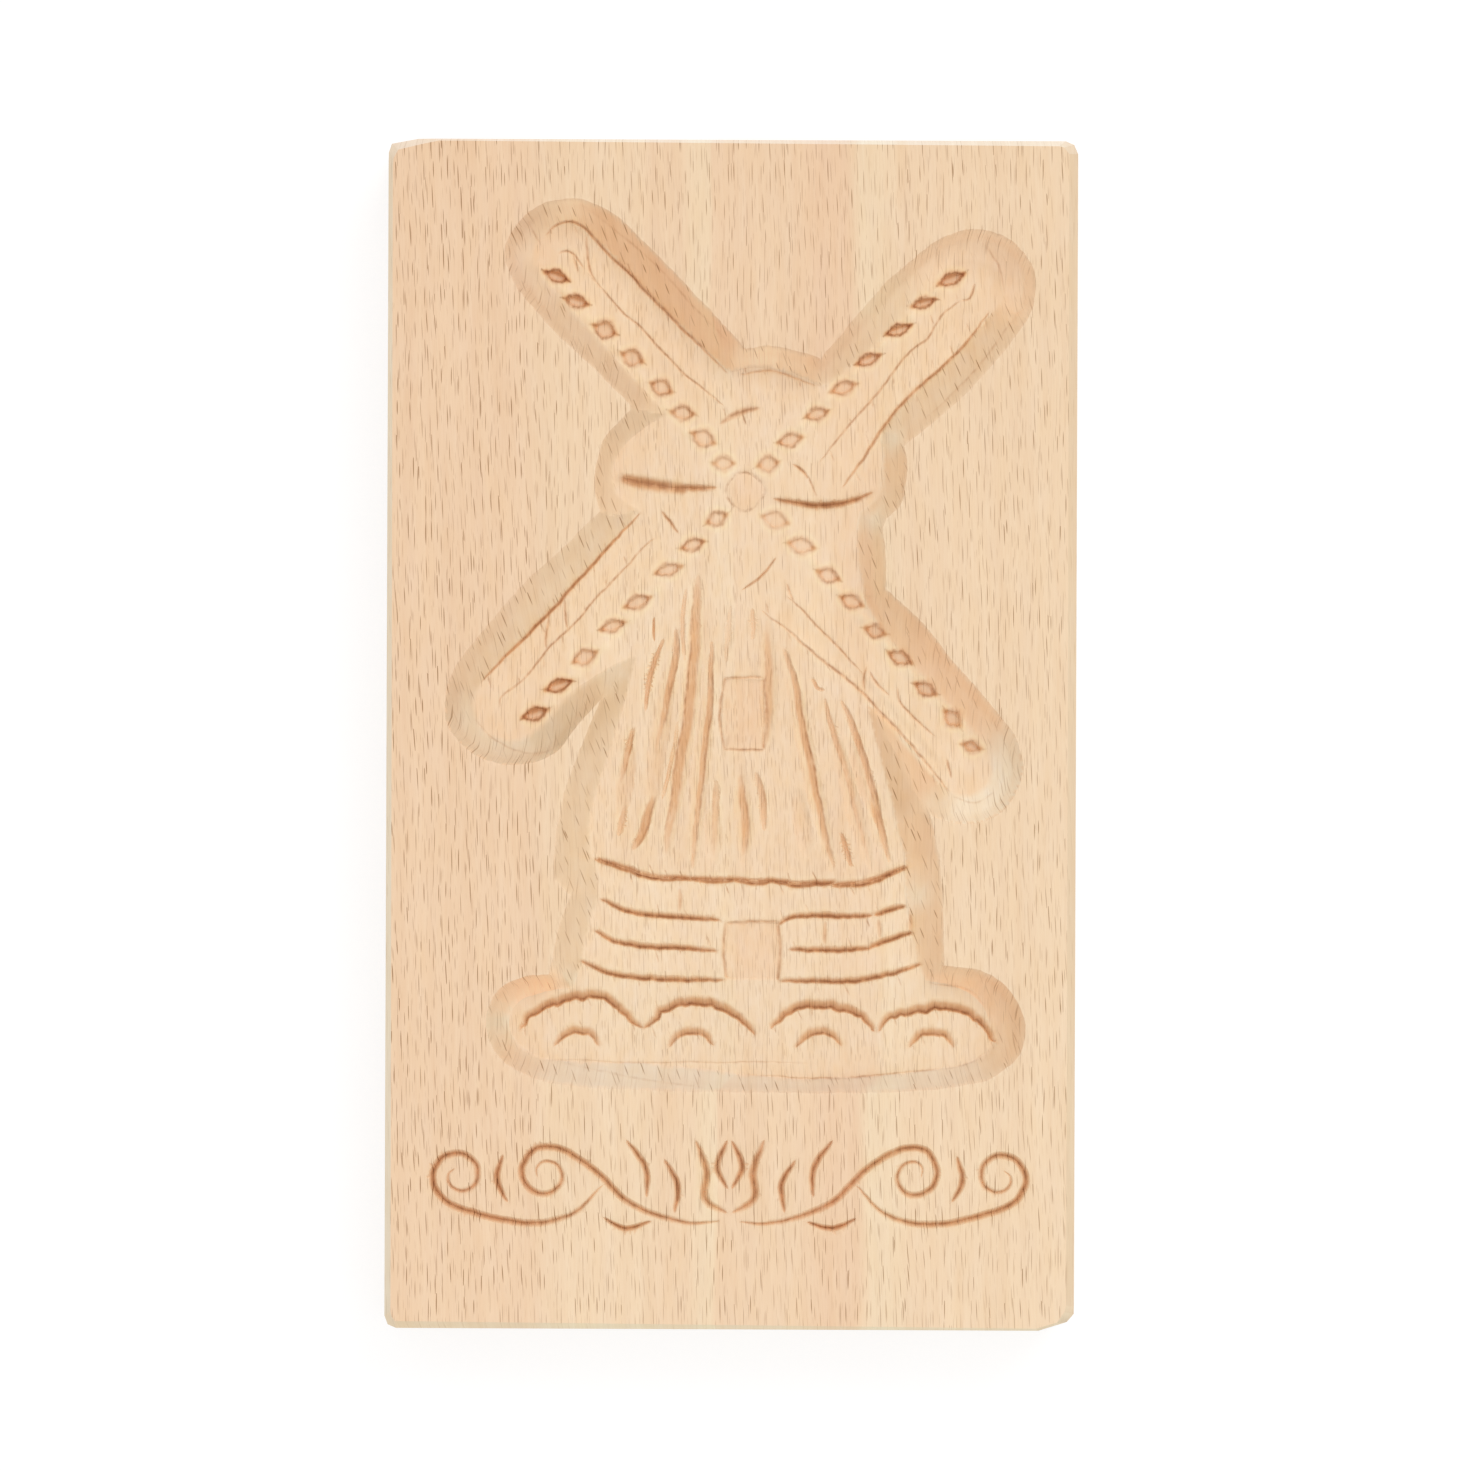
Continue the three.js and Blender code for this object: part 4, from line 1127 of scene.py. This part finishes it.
def makeBoard():
    for thing in list(bpy.context.selected_objects):
        thing.select_set(False)
    mesh = bpy.data.meshes.new("carved_board")
    points = np.column_stack([facePlan, faceZ + relief]) * mm
    mesh.from_pydata(points.tolist(), [], faceTriangles.tolist())
    mesh.update()
    board = bpy.data.objects.new("carved_board", mesh)
    bpy.context.scene.collection.objects.link(board)
    bpy.context.view_layer.objects.active = board
    board.select_set(True)
    for name, values in marksAndPaintedLight.items():
        addLayer(mesh, name, "POINT", values)
    middles = facePlan[faceTriangles].mean(axis=1)
    onWall = isInside(rim, middles) & ~isInside(floor, middles)
    addLayer(mesh, "part", "FACE", np.where(onWall, parts["wall"], parts["face"]))
    return board


def extrudeEdge(board, place, part):
    before = len(board.data.polygons)
    bpy.ops.object.mode_set(mode="EDIT")
    bpy.ops.mesh.extrude_edges_move(TRANSFORM_OT_translate={"value": (0, 0, -1 * mm)})
    bpy.ops.object.mode_set(mode="OBJECT")
    for vertex in board.data.vertices:
        if vertex.select:
            vertex.co = place(vertex.co)
    layer = board.data.attributes["part"]
    for polygon in board.data.polygons[before:]:
        layer.data[polygon.index].value = parts[part]


def finishBoard(board):
    tree = nearTree(faceLoop)
    bpy.ops.object.mode_set(mode="EDIT")
    bpy.ops.mesh.select_mode(type="EDGE")
    bpy.ops.mesh.select_all(action="DESELECT")
    bpy.ops.mesh.select_non_manifold()

    def toPlank(co):
        near = tree.find((co.x / mm, co.y / mm, 0))[1]
        return Vector((*plankLoop[near], faceZ - chamferDrop[near])) * mm

    def toBackArris(co):
        return Vector((co.x, co.y, backArris * mm))

    def toBack(co):
        return Vector((co.x * (1 - backArris / halfWidth), co.y * (1 - backArris / halfLength), 0))

    extrudeEdge(board, toPlank, "chamfer")
    extrudeEdge(board, toBackArris, "side")
    extrudeEdge(board, toBack, "side")
    bpy.ops.object.mode_set(mode="EDIT")
    bpy.ops.mesh.edge_face_add()
    bpy.ops.mesh.select_all(action="SELECT")
    bpy.ops.mesh.normals_make_consistent(inside=False)
    bpy.ops.mesh.select_all(action="DESELECT")
    bpy.ops.object.mode_set(mode="OBJECT")
    bpy.ops.object.shade_smooth_by_angle(angle=math.radians(smoothAngle))


board = makeBoard()
finishBoard(board)
print("board made:", len(board.data.vertices), "points")


# A wall's tone goes by the way it faces, partly because the cut meets the grain differently and partly as
# painted light
# and shade for how the light falls on it: the hollow's walls from east round by north to south-east, and the
# plank's chamfers to the right, top, left and bottom
wallTones = [
    (0.89, 0.88, 0.85), (0.85, 0.82, 0.77), (0.91, 0.98, 1.04), (0.90, 0.88, 0.84),
    (1.00, 0.93, 0.85), (1.02, 0.88, 0.77), (1.20, 1.25, 1.26), (0.965, 0.97, 0.95),
]
# the whole hollow is lightened a little, a painted light against the shade that falls in it
hollowTone = (1.025, 1.037, 1.05)
# the mound's walls take a second tone by the way they face, painted light and shade with the grain's own
# difference
moundTones = [
    (0.94, 1.06, 1.13), (0.965, 0.975, 0.99), (0.955, 0.965, 1.01), (0.97, 0.95, 0.95),
    (0.975, 0.945, 0.915), (1.03, 0.95, 0.885), (1.12, 1.0, 0.91), (1.08, 1.05, 1.03),
]
moundFloor = (0.985, 0.995, 1.0)
moundTop, moundFade = -83, 3
endAbove, endFade = -76, 6  # the walls of the foot and the mound lie below
endWalls = {  # the wall at a sail's end: from how far along the sail, and its tone, painted light and shade that set how light each end looks
    "upperLeft": (44, (0.985, 1.02, 1.05)),
    "upperRight": (44, (1.08, 1.09, 1.12)),
    "lowerRight": (57, (1.02, 1.15, 1.29)),
    "lowerLeft": (44, (0.88, 0.94, 0.98)),
}
sideWalls = {  # the wall along a sail's plain side: where it begins and ends and how softly, and its tone, a painted shade on the two left sails and a painted light on the lower right
    "upperLeft": ((18, 8, 60, 6), (0.94, 0.945, 0.965)),
    "lowerRight": ((36, 8, 65, 6), (1.05, 1.035, 1.035)),
    "lowerLeft": ((34, 8, 60, 6), (0.93, 0.91, 0.87)),
}
sideAcross = (-12, 3, -1, 1.5)
notch = {  # between the lower right sail and the mill's body: where it lies along and across the sail, and its painted shade
    "along": (30, 8, 63, 4),
    "across": (8, 1.2, 19, 3),
    "tone": (0.88, 0.775, 0.68),
}
paleSpots = {  # where two walls on the right meet
    "places": [(26.1, 8.5), (22.1, -5.3), (30.8, -70.5)],
    "reach": 2.3,
    "tone": (1.02, 1.16, 1.32),
}
chamferTones = [(0.90, 0.91, 0.90), (1.05, 1.22, 1.48), (0.97, 1.14, 1.28), (1.05, 1.16, 1.18)]


blendRounds = 8


def toneFacing(degrees, tones):
    marks = np.linspace(0, 360, len(tones) + 1)
    table = np.array(tones + tones[:1])
    return np.column_stack([np.interp(degrees % 360, marks, table[:, k]) for k in range(3)])


def tinted(amount, tone):
    # what a tone comes to where only an amount of it counts
    return 1 - amount[:, None] * (1 - np.array(tone))


def readAll(collection, name, width=1, kind=float):
    values = np.zeros(len(collection) * width, kind)
    collection.foreach_get(name, values)
    return values if width == 1 else values.reshape(-1, width)


def blendAlong(mesh, values, chosen):
    # each chosen point takes the mean of itself and the chosen points beside it, over and over
    a, b = readAll(mesh.edges, "vertices", 2, int).T
    both = chosen[a] & chosen[b]
    a, b = a[both], b[both]
    neighbours = 1 + np.bincount(a, minlength=len(values)) + np.bincount(b, minlength=len(values))
    for _ in range(blendRounds):
        total = values.copy()
        np.add.at(total, a, values[b])
        np.add.at(total, b, values[a])
        values = total / neighbours[:, None]
    return values


def toneWalls(mesh, away, low, onWall):
    layers = (mesh.attributes[name].data for name in ("facing", "wall", "soft"))
    facing, share, soft = (readAll(layer, "value") for layer in layers)
    tone = tinted(share, blendAlong(mesh, toneFacing(facing, wallTones), onWall))
    ends = np.ones(tone.shape)
    for name, (start, end) in endWalls.items():
        along, _ = overSail(sails[name], away)
        far = ramp(along, start, endFade) * ramp(away[:, 1], endAbove, endFade)
        ends += far[:, None] * (np.array(end) - 1)
    tone *= tinted(soft, ends)

    along, across = overSail(sails["lowerRight"], away)
    inNotch = band(along, *notch["along"]) * band(across, *notch["across"]) * share
    tone += inNotch[:, None] * (np.array(notch["tone"]) - tone)
    for name, (reach, side) in sideWalls.items():
        along, across = overSail(sails[name], away)
        tone *= tinted(band(along, *reach) * band(across, *sideAcross), side)
    tone *= tinted(low, toneFacing(facing, moundTones)) * np.array(hollowTone)
    for spot in paleSpots["places"]:
        tone *= tinted(bell(np.hypot(*(away - spot).T), paleSpots["reach"]), paleSpots["tone"])
    return tone


def toneBoard(board):
    mesh = board.data
    sides = readAll(mesh.polygons, "loop_total", kind=int)
    part = np.repeat(readAll(mesh.attributes["part"].data, "value"), sides)
    normals = np.repeat(readAll(mesh.polygons, "normal", 3), sides, axis=0)
    vertex = readAll(mesh.loops, "vertex_index", kind=int)
    away = readAll(mesh.vertices, "co", 3)[:, :2] / mm - hub
    low = ramp(away[:, 1], moundTop, -moundFade)

    tone = np.ones((len(vertex), 3))
    onWall = part == parts["wall"]
    wallPoints = np.zeros(len(away), bool)
    wallPoints[vertex[onWall]] = True
    tone[onWall] = toneWalls(mesh, away, low, wallPoints)[vertex[onWall]]
    hollowPoints = np.append(inRim, np.zeros(len(away) - len(facePlan), bool))
    inHollow = hollowPoints[vertex] & (part == parts["face"])
    tone[inHollow] = (tinted(low, moundFloor) * np.array(hollowTone))[vertex[inHollow]]
    onChamfer = part == parts["chamfer"]
    outwards = np.degrees(np.arctan2(normals[onChamfer, 1], normals[onChamfer, 0]))
    tone[onChamfer] = toneFacing(outwards, chamferTones)
    addLayer(mesh, "tone", "CORNER", np.column_stack([tone, np.ones(len(tone))]), "FLOAT_COLOR", "color")


toneBoard(board)


# Beech
beech = {
    "pith": (8.0, -200.0),  # the tree's middle, across the board and from its back face
    "lean": 0.03,  # the rays lean this much off the board's length
    "rayWander": 2.2,
    "zones": [  # how light the growth rings are across the face, in millimetres from its middle
        (-60, 0.935), (-36, 0.94), (-32, 0.99), (-16, 1.0), (-13, 0.97), (-8, 0.975), (-5.5, 1.04),
        (-3.4, 1.04), (-2.8, 0.955), (10, 0.965), (16, 0.92), (21, 0.925), (23.5, 1.05), (27, 1.035),
        (31, 0.99), (60, 1.005),
    ],
    "zoneColour": (0.25, 1.0, 1.2),
    "zoneLean": 0.012,
    "zoneWander": 3.0,
    "zoneDip": 0.6,  # how far a zone moves sideways for each millimetre down
    "flecks": [  # cell across, cell along, half width, half length, strength
        (1.5, 5.2, 0.086, 2.2, 1.05),
        (1.8, 4.5, 0.072, 1.95, 0.7),
        (1.1, 2.9, 0.055, 1.1, 0.35),
    ],
    "fleckLength": (0.6, 0.6),  # by how much chance makes a ray longer, and the least
    "fleckDark": (0.75, 0.25),
    "ticks": (0.95, 2.2, 0.11, 1.1, 1.0),  # torn rays beside a cut
    "wallTicks": (2.1, 3.4, 0.12, 1.3, 1.0),  # on the walls they lean
    "wallLean": 0.4,
    "leftward": (-0.05, -1.25),  # the rays grow stronger to the left
    "raysMore": {"leftward": 0.3, "wall": -0.6, "calm": -0.4, "chamfer": -0.75},
    "streaks": {  # how wide and long, by which chance and in how much detail
        "slow": (9.0, 40.0, 4.0, 2.0),
        "broad": (2.0, 45.0, 1.0, 2.0),
        "fine": (0.3, 7.0, 2.0, 2.0),
        "patches": (2.8, 12.0, 3.0, 2.0),
        "small": (1.7, 3.2, 6.0, 2.0),
        "uneven": (0.8, 2.6, 5.0, 2.0),
        "ragged": (0.45, 1.1, 7.0, 3.0),
        "broken": (1.6, 1.8, 8.0, 1.0),
    },
    "rings": (2.0, 2.1),  # how they wander, and how close they are
    "toneMore": {"broad": 0.16, "fine": 0.16, "along": -0.0003, "rings": 0.01},
    "toneColour": (0.6, 1.0, 1.3),
    "smallHue": (0.24, 0.02),
    "patchHue": 0.18,
    "hueColour": (0.05, 0.35, 1.0),
    "calmZones": -0.65,
    # how unevenly the painted highlight and shade are spread
    "paintedLightSpread": (1.6, 0.2),
    "cutEdge": (0.52, 0.5),  # how ragged a brown line is
    "cutGaps": (0.43, 3.5),  # and how broken
    "pitLine": 0.24,
    "roughness": (-0.12, 0.62),
    "specular": 0.25,
    "bump": (0.8, 0.4, 0.05),  # of the fine streaks, in all, and its height
}
tint = {
    "base": (239.5, 210.5, 176.5),
    "fleck": (0.48, 0.37, 0.28, 1),
    "line": (0.47, 0.28, 0.17, 1),  # the brown of a cut's keel: crushed wood, with painted shade in the crease
    # orange is painted shade with some of the end grain's warmer colour, and pink a softer painted shade in
    # the eyes and on the cloth, and a pinker tone in the window, the door and the hub
    "orange": (0.87, 0.69, 0.54, 1),
    "pink": (0.96, 0.82, 0.73, 1),
    "brown": (0.78, 0.63, 0.54, 1),  # what is more than orange: a deeper painted shade
    # the pale of a painted highlight
    "pale": (1.04, 1.08, 1.04, 1),
}


def linear(values):
    channels = []
    for value in values:
        value /= 255
        channels.append(value / 12.92 if value <= 0.04045 else ((value + 0.055) / 1.055) ** 2.4)
    return (*channels, 1.0)


def fill(socket, value):
    if isinstance(value, bpy.types.NodeSocket):
        socket.id_data.links.new(value, socket)
    else:
        socket.default_value = value


def treeOf(*values):
    return next(value.id_data for value in values if isinstance(value, bpy.types.NodeSocket))


def addNode(tree, kind, *values, **settings):
    # settings with a capital are inputs and the others the node's own; values fill the inputs in order
    node = tree.nodes.new("ShaderNode" + kind)
    for name, value in settings.items():
        if name[0].isupper():
            fill(node.inputs[name], value)
        else:
            setattr(node, name, value)
    for socket, value in zip(node.inputs, values):
        fill(socket, value)
    return node


def work(operation, *values, clamp=False):
    return addNode(treeOf(*values), "Math", *values, operation=operation, use_clamp=clamp).outputs[0]


plus, minus, times, over = (partial(work, name) for name in ("ADD", "SUBTRACT", "MULTIPLY", "DIVIDE"))
timesPlus, larger, power = (partial(work, name) for name in ("MULTIPLY_ADD", "MAXIMUM", "POWER"))


def multiplyColour(colour, tone, amount=1.0):
    # a Mix node's colours are its inputs 6 and 7 and its output 2
    node = addNode(treeOf(colour, tone, amount), "Mix", amount, data_type="RGBA", blend_type="MULTIPLY")
    fill(node.inputs[6], colour)
    fill(node.inputs[7], tone)
    return node.outputs[2]


def colourPowers(value, powers):
    return addNode(treeOf(value), "CombineColor", *(power(value, one) for one in powers)).outputs[0]


def readAttribute(tree, name, output="Fac"):
    return addNode(tree, "Attribute", attribute_name=name).outputs[output]


def fleckLayer(across, along, layer):
    # spindle-shaped rays: thin across, long with the grain, one to a cell
    cellX, cellY, thin, long, strength = layer
    tree = treeOf(across)
    place = addNode(tree, "CombineXYZ", over(across, cellX), over(along, cellY)).outputs[0]
    cells = addNode(tree, "TexVoronoi", voronoi_dimensions="2D", Vector=place, Scale=1.0).outputs
    offset = addNode(tree, "VectorMath", place, cells["Position"], operation="SUBTRACT").outputs[0]
    partX, partY, _ = addNode(tree, "SeparateXYZ", offset).outputs
    chance = addNode(tree, "SeparateColor", cells["Color"]).outputs
    x = times(partX, cellX / thin)
    y = over(times(partY, cellY / long), timesPlus(chance[0], *beech["fleckLength"]))
    spot = minus(1.0, plus(times(x, x), times(y, y)), clamp=True)
    dark = timesPlus(chance[1], *(strength * share for share in beech["fleckDark"]))
    return times(power(spot, 0.5), dark)


def streaks(across, along, name):
    width, length, seed, detail = beech["streaks"][name]
    place = addNode(treeOf(across), "CombineXYZ", over(across, width), over(along, length), seed).outputs[0]
    return addNode(treeOf(across), "TexNoise", Vector=place, Scale=1.0, Detail=detail).outputs[0]


def swing(across, along, name):
    return minus(streaks(across, along, name), 0.5)


def cutLine(away, width, dark, ragged, broken):
    # a brown line where away is nought, in millimetres, with a ragged edge, and the fainter the more broken
    edge, spread = beech["cutEdge"]
    gaps, sudden = beech["cutGaps"]
    away = over(larger(timesPlus(minus(ragged, edge), spread, away), 0.0), width)
    fade = power(math.e, times(times(away, away), -1.0))
    strength = timesPlus(minus(broken, gaps), sudden, dark, clamp=True)
    return times(fade, times(strength, dark), clamp=True)


def makeRays(x, y, leaning, at):
    more = beech["raysMore"]
    flecks = reduce(larger, [fleckLayer(leaning, y, layer) for layer in beech["flecks"]])
    leftward = timesPlus(x, *beech["leftward"], clamp=True)
    for where, name in ((leftward, "leftward"), (at["wall"], "wall"), (at["calm"], "calm")):
        flecks = times(flecks, timesPlus(where, more[name], 1.0))
    ticks = times(fleckLayer(leaning, y, beech["ticks"]), at["torn"])
    tilted = timesPlus(y, beech["wallLean"], x)
    wallTicks = times(fleckLayer(tilted, y, beech["wallTicks"]), at["wall"])
    flecks = larger(flecks, larger(ticks, wallTicks))
    onChamfer = work("COMPARE", at["part"], parts["chamfer"], 0.5)
    return times(flecks, timesPlus(onChamfer, more["chamfer"], 1.0))


def growthZones(x, y, z, slow):
    # across the face the zones of the growth rings come from the side, and down a wall from the depth
    bent = timesPlus(slow, beech["zoneWander"], timesPlus(y, beech["zoneLean"], x))
    bent = timesPlus(minus(z, faceZ), beech["zoneDip"], bent)
    zones = addNode(treeOf(x), "ValToRGB", over(plus(bent, halfWidth), boardWidth))
    elements = zones.color_ramp.elements
    while len(elements) < len(beech["zones"]):
        elements.new(0.5)
    for element, (place, tone) in zip(elements, beech["zones"]):
        element.position = (place + halfWidth) / boardWidth
        element.color = (*(tone ** one for one in beech["zoneColour"]), 1)
    return zones.outputs[0]


def woodTone(y, slow, radius, leaning, fine):
    wander, closeness = beech["rings"]
    rings = work("SINE", times(timesPlus(slow, wander, radius), closeness))
    causes = {"broad": swing(leaning, y, "broad"), "fine": fine, "along": y, "rings": rings}
    tone = 1.0
    for name, amount in beech["toneMore"].items():
        tone = timesPlus(causes[name], amount, tone)
    return colourPowers(tone, beech["toneColour"])


def woodHue(x, y, leaning, calm):
    small = times(swing(x, y, "small"), timesPlus(calm, *beech["smallHue"]))
    hue = timesPlus(swing(leaning, y, "patches"), beech["patchHue"], plus(small, 1.0))
    return colourPowers(hue, beech["hueColour"])


def makeBeech():
    material = bpy.data.materials.new("beech")
    material.use_nodes = True
    tree = material.node_tree
    shader = tree.nodes["Principled BSDF"].inputs
    place = addNode(tree, "TexCoord").outputs["Object"]
    inMm = addNode(tree, "Mapping", Vector=place, Scale=(1 / mm, 1 / mm, 1 / mm))
    x, y, z = addNode(tree, "SeparateXYZ", inMm.outputs[0]).outputs
    names = ("keel", "core", "dark", "pit", "pitDark", "orange", "pink", "pale", "torn", "calm", "wall")
    at = {name: readAttribute(tree, name) for name in (*names, "part")}

    # round the tree: how far from its middle, and how far round it at the face's own radius
    pithX, pithZ = beech["pith"]
    awayX, awayZ = minus(x, pithX), minus(z, pithZ)
    around = times(over(awayX, awayZ), faceZ - pithZ)
    radius = work("SQRT", timesPlus(awayX, awayX, times(awayZ, awayZ)))
    slow = swing(x, y, "slow")
    leaning = timesPlus(slow, beech["rayWander"], timesPlus(y, beech["lean"], around))
    flecks = makeRays(x, y, leaning, at)
    fine = swing(leaning, y, "fine")

    outside = timesPlus(at["calm"], beech["calmZones"], 1.0)
    colour = multiplyColour(linear(tint["base"]), growthZones(x, y, z, slow), outside)
    colour = multiplyColour(colour, woodTone(y, slow, radius, leaning, fine))
    colour = multiplyColour(colour, woodHue(x, y, leaning, at["calm"]))
    # the tone paints light and shade on the walls and chamfers by the way they face, along with the grain's
    # own difference
    colour = multiplyColour(colour, readAttribute(tree, "tone", "Color"))
    # then a pale painted highlight, pink, orange painted shade and past full orange a deeper brown painted
    # shade
    uneven = timesPlus(streaks(x, y, "uneven"), *beech["paintedLightSpread"], clamp=True)
    for name in ("pale", "pink", "orange"):
        amount = times(at[name], uneven)
        colour = multiplyColour(colour, tint[name], amount)
    colour = multiplyColour(colour, tint["brown"], minus(amount, 1.0, clamp=True))
    colour = multiplyColour(colour, tint["fleck"], flecks)

    # the brown lines of the cuts and round the eyes: crushed wood, with painted shade in the crease
    lines = streaks(x, y, "ragged"), streaks(x, y, "broken")
    keel = cutLine(at["keel"], at["core"], at["dark"], *lines)
    pit = cutLine(at["pit"], beech["pitLine"], at["pitDark"], *lines)
    fill(shader["Base Color"], multiplyColour(colour, tint["line"], larger(keel, pit)))
    fill(shader["Roughness"], timesPlus(flecks, *beech["roughness"]))
    fill(shader["Specular IOR Level"], beech["specular"])
    fineBump, strength, height = beech["bump"]
    bumps = minus(times(fine, fineBump), flecks)
    bump = addNode(tree, "Bump", Height=bumps, Strength=strength, Distance=height * mm)
    fill(shader["Normal"], bump.outputs[0])
    return material


board.data.materials.append(makeBeech())
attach(board, "root")
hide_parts("mould_board")
print("beech made")


# A white table, and soft light from the upper right
light = {
    "world": 0.84,
    "lampPower": 117,
    "lampSize": 3.15,
    "lampPlace": (2.4, 3.75, 5.1),
    "tableSize": 6,
    "tableDrop": 0.0001,
    "tablePlain": (0.8, 0.8, 0.8, 1),
    "tableShaded": (0.3, 0.3, 0.3, 1),
    "tableGlow": 0.76,
}
white = (1, 1, 1, 1)


def seenBy(tree, *rays):
    path = addNode(tree, "LightPath").outputs
    return reduce(larger, [path[name] for name in rays])


def makeStage():
    bpy.ops.mesh.primitive_plane_add(size=light["tableSize"], location=(0, 0, -light["tableDrop"]))
    table = bpy.context.active_object
    table.name = "table"
    material = bpy.data.materials.new("table_white")
    material.use_nodes = True
    tree = material.node_tree
    tree.nodes.remove(tree.nodes["Principled BSDF"])
    seen = seenBy(tree, "Is Camera Ray", "Is Glossy Ray", "Is Transmission Ray")
    plain = addNode(tree, "BsdfDiffuse", Color=light["tablePlain"])
    shaded = addNode(tree, "BsdfDiffuse", Color=light["tableShaded"])
    glow = addNode(tree, "Emission", Color=white, Strength=light["tableGlow"])
    lit = addNode(tree, "AddShader", shaded.outputs[0], glow.outputs[0])
    mixed = addNode(tree, "MixShader", seen, plain.outputs[0], lit.outputs[0])
    fill(tree.nodes["Material Output"].inputs["Surface"], mixed.outputs[0])
    table.data.materials.append(material)


def makeLight():
    world = bpy.data.worlds.new("room")
    bpy.context.scene.world = world
    world.use_nodes = True
    background = world.node_tree.nodes["Background"].inputs
    seen = seenBy(world.node_tree, "Is Camera Ray", "Is Transmission Ray")
    fill(background["Color"], white)
    fill(background["Strength"], timesPlus(seen, 1 - light["world"], light["world"]))
    lamp = bpy.data.lights.new("window_light", "AREA")
    lamp.energy = light["lampPower"]
    lamp.shape = "SQUARE"
    lamp.size = light["lampSize"]
    holder = bpy.data.objects.new("window_light", lamp)
    holder.location = light["lampPlace"]
    holder.rotation_euler = Vector(light["lampPlace"]).to_track_quat("Z", "Y").to_euler()
    bpy.context.scene.collection.objects.link(holder)


makeStage()
makeLight()
print("stage and light ready")
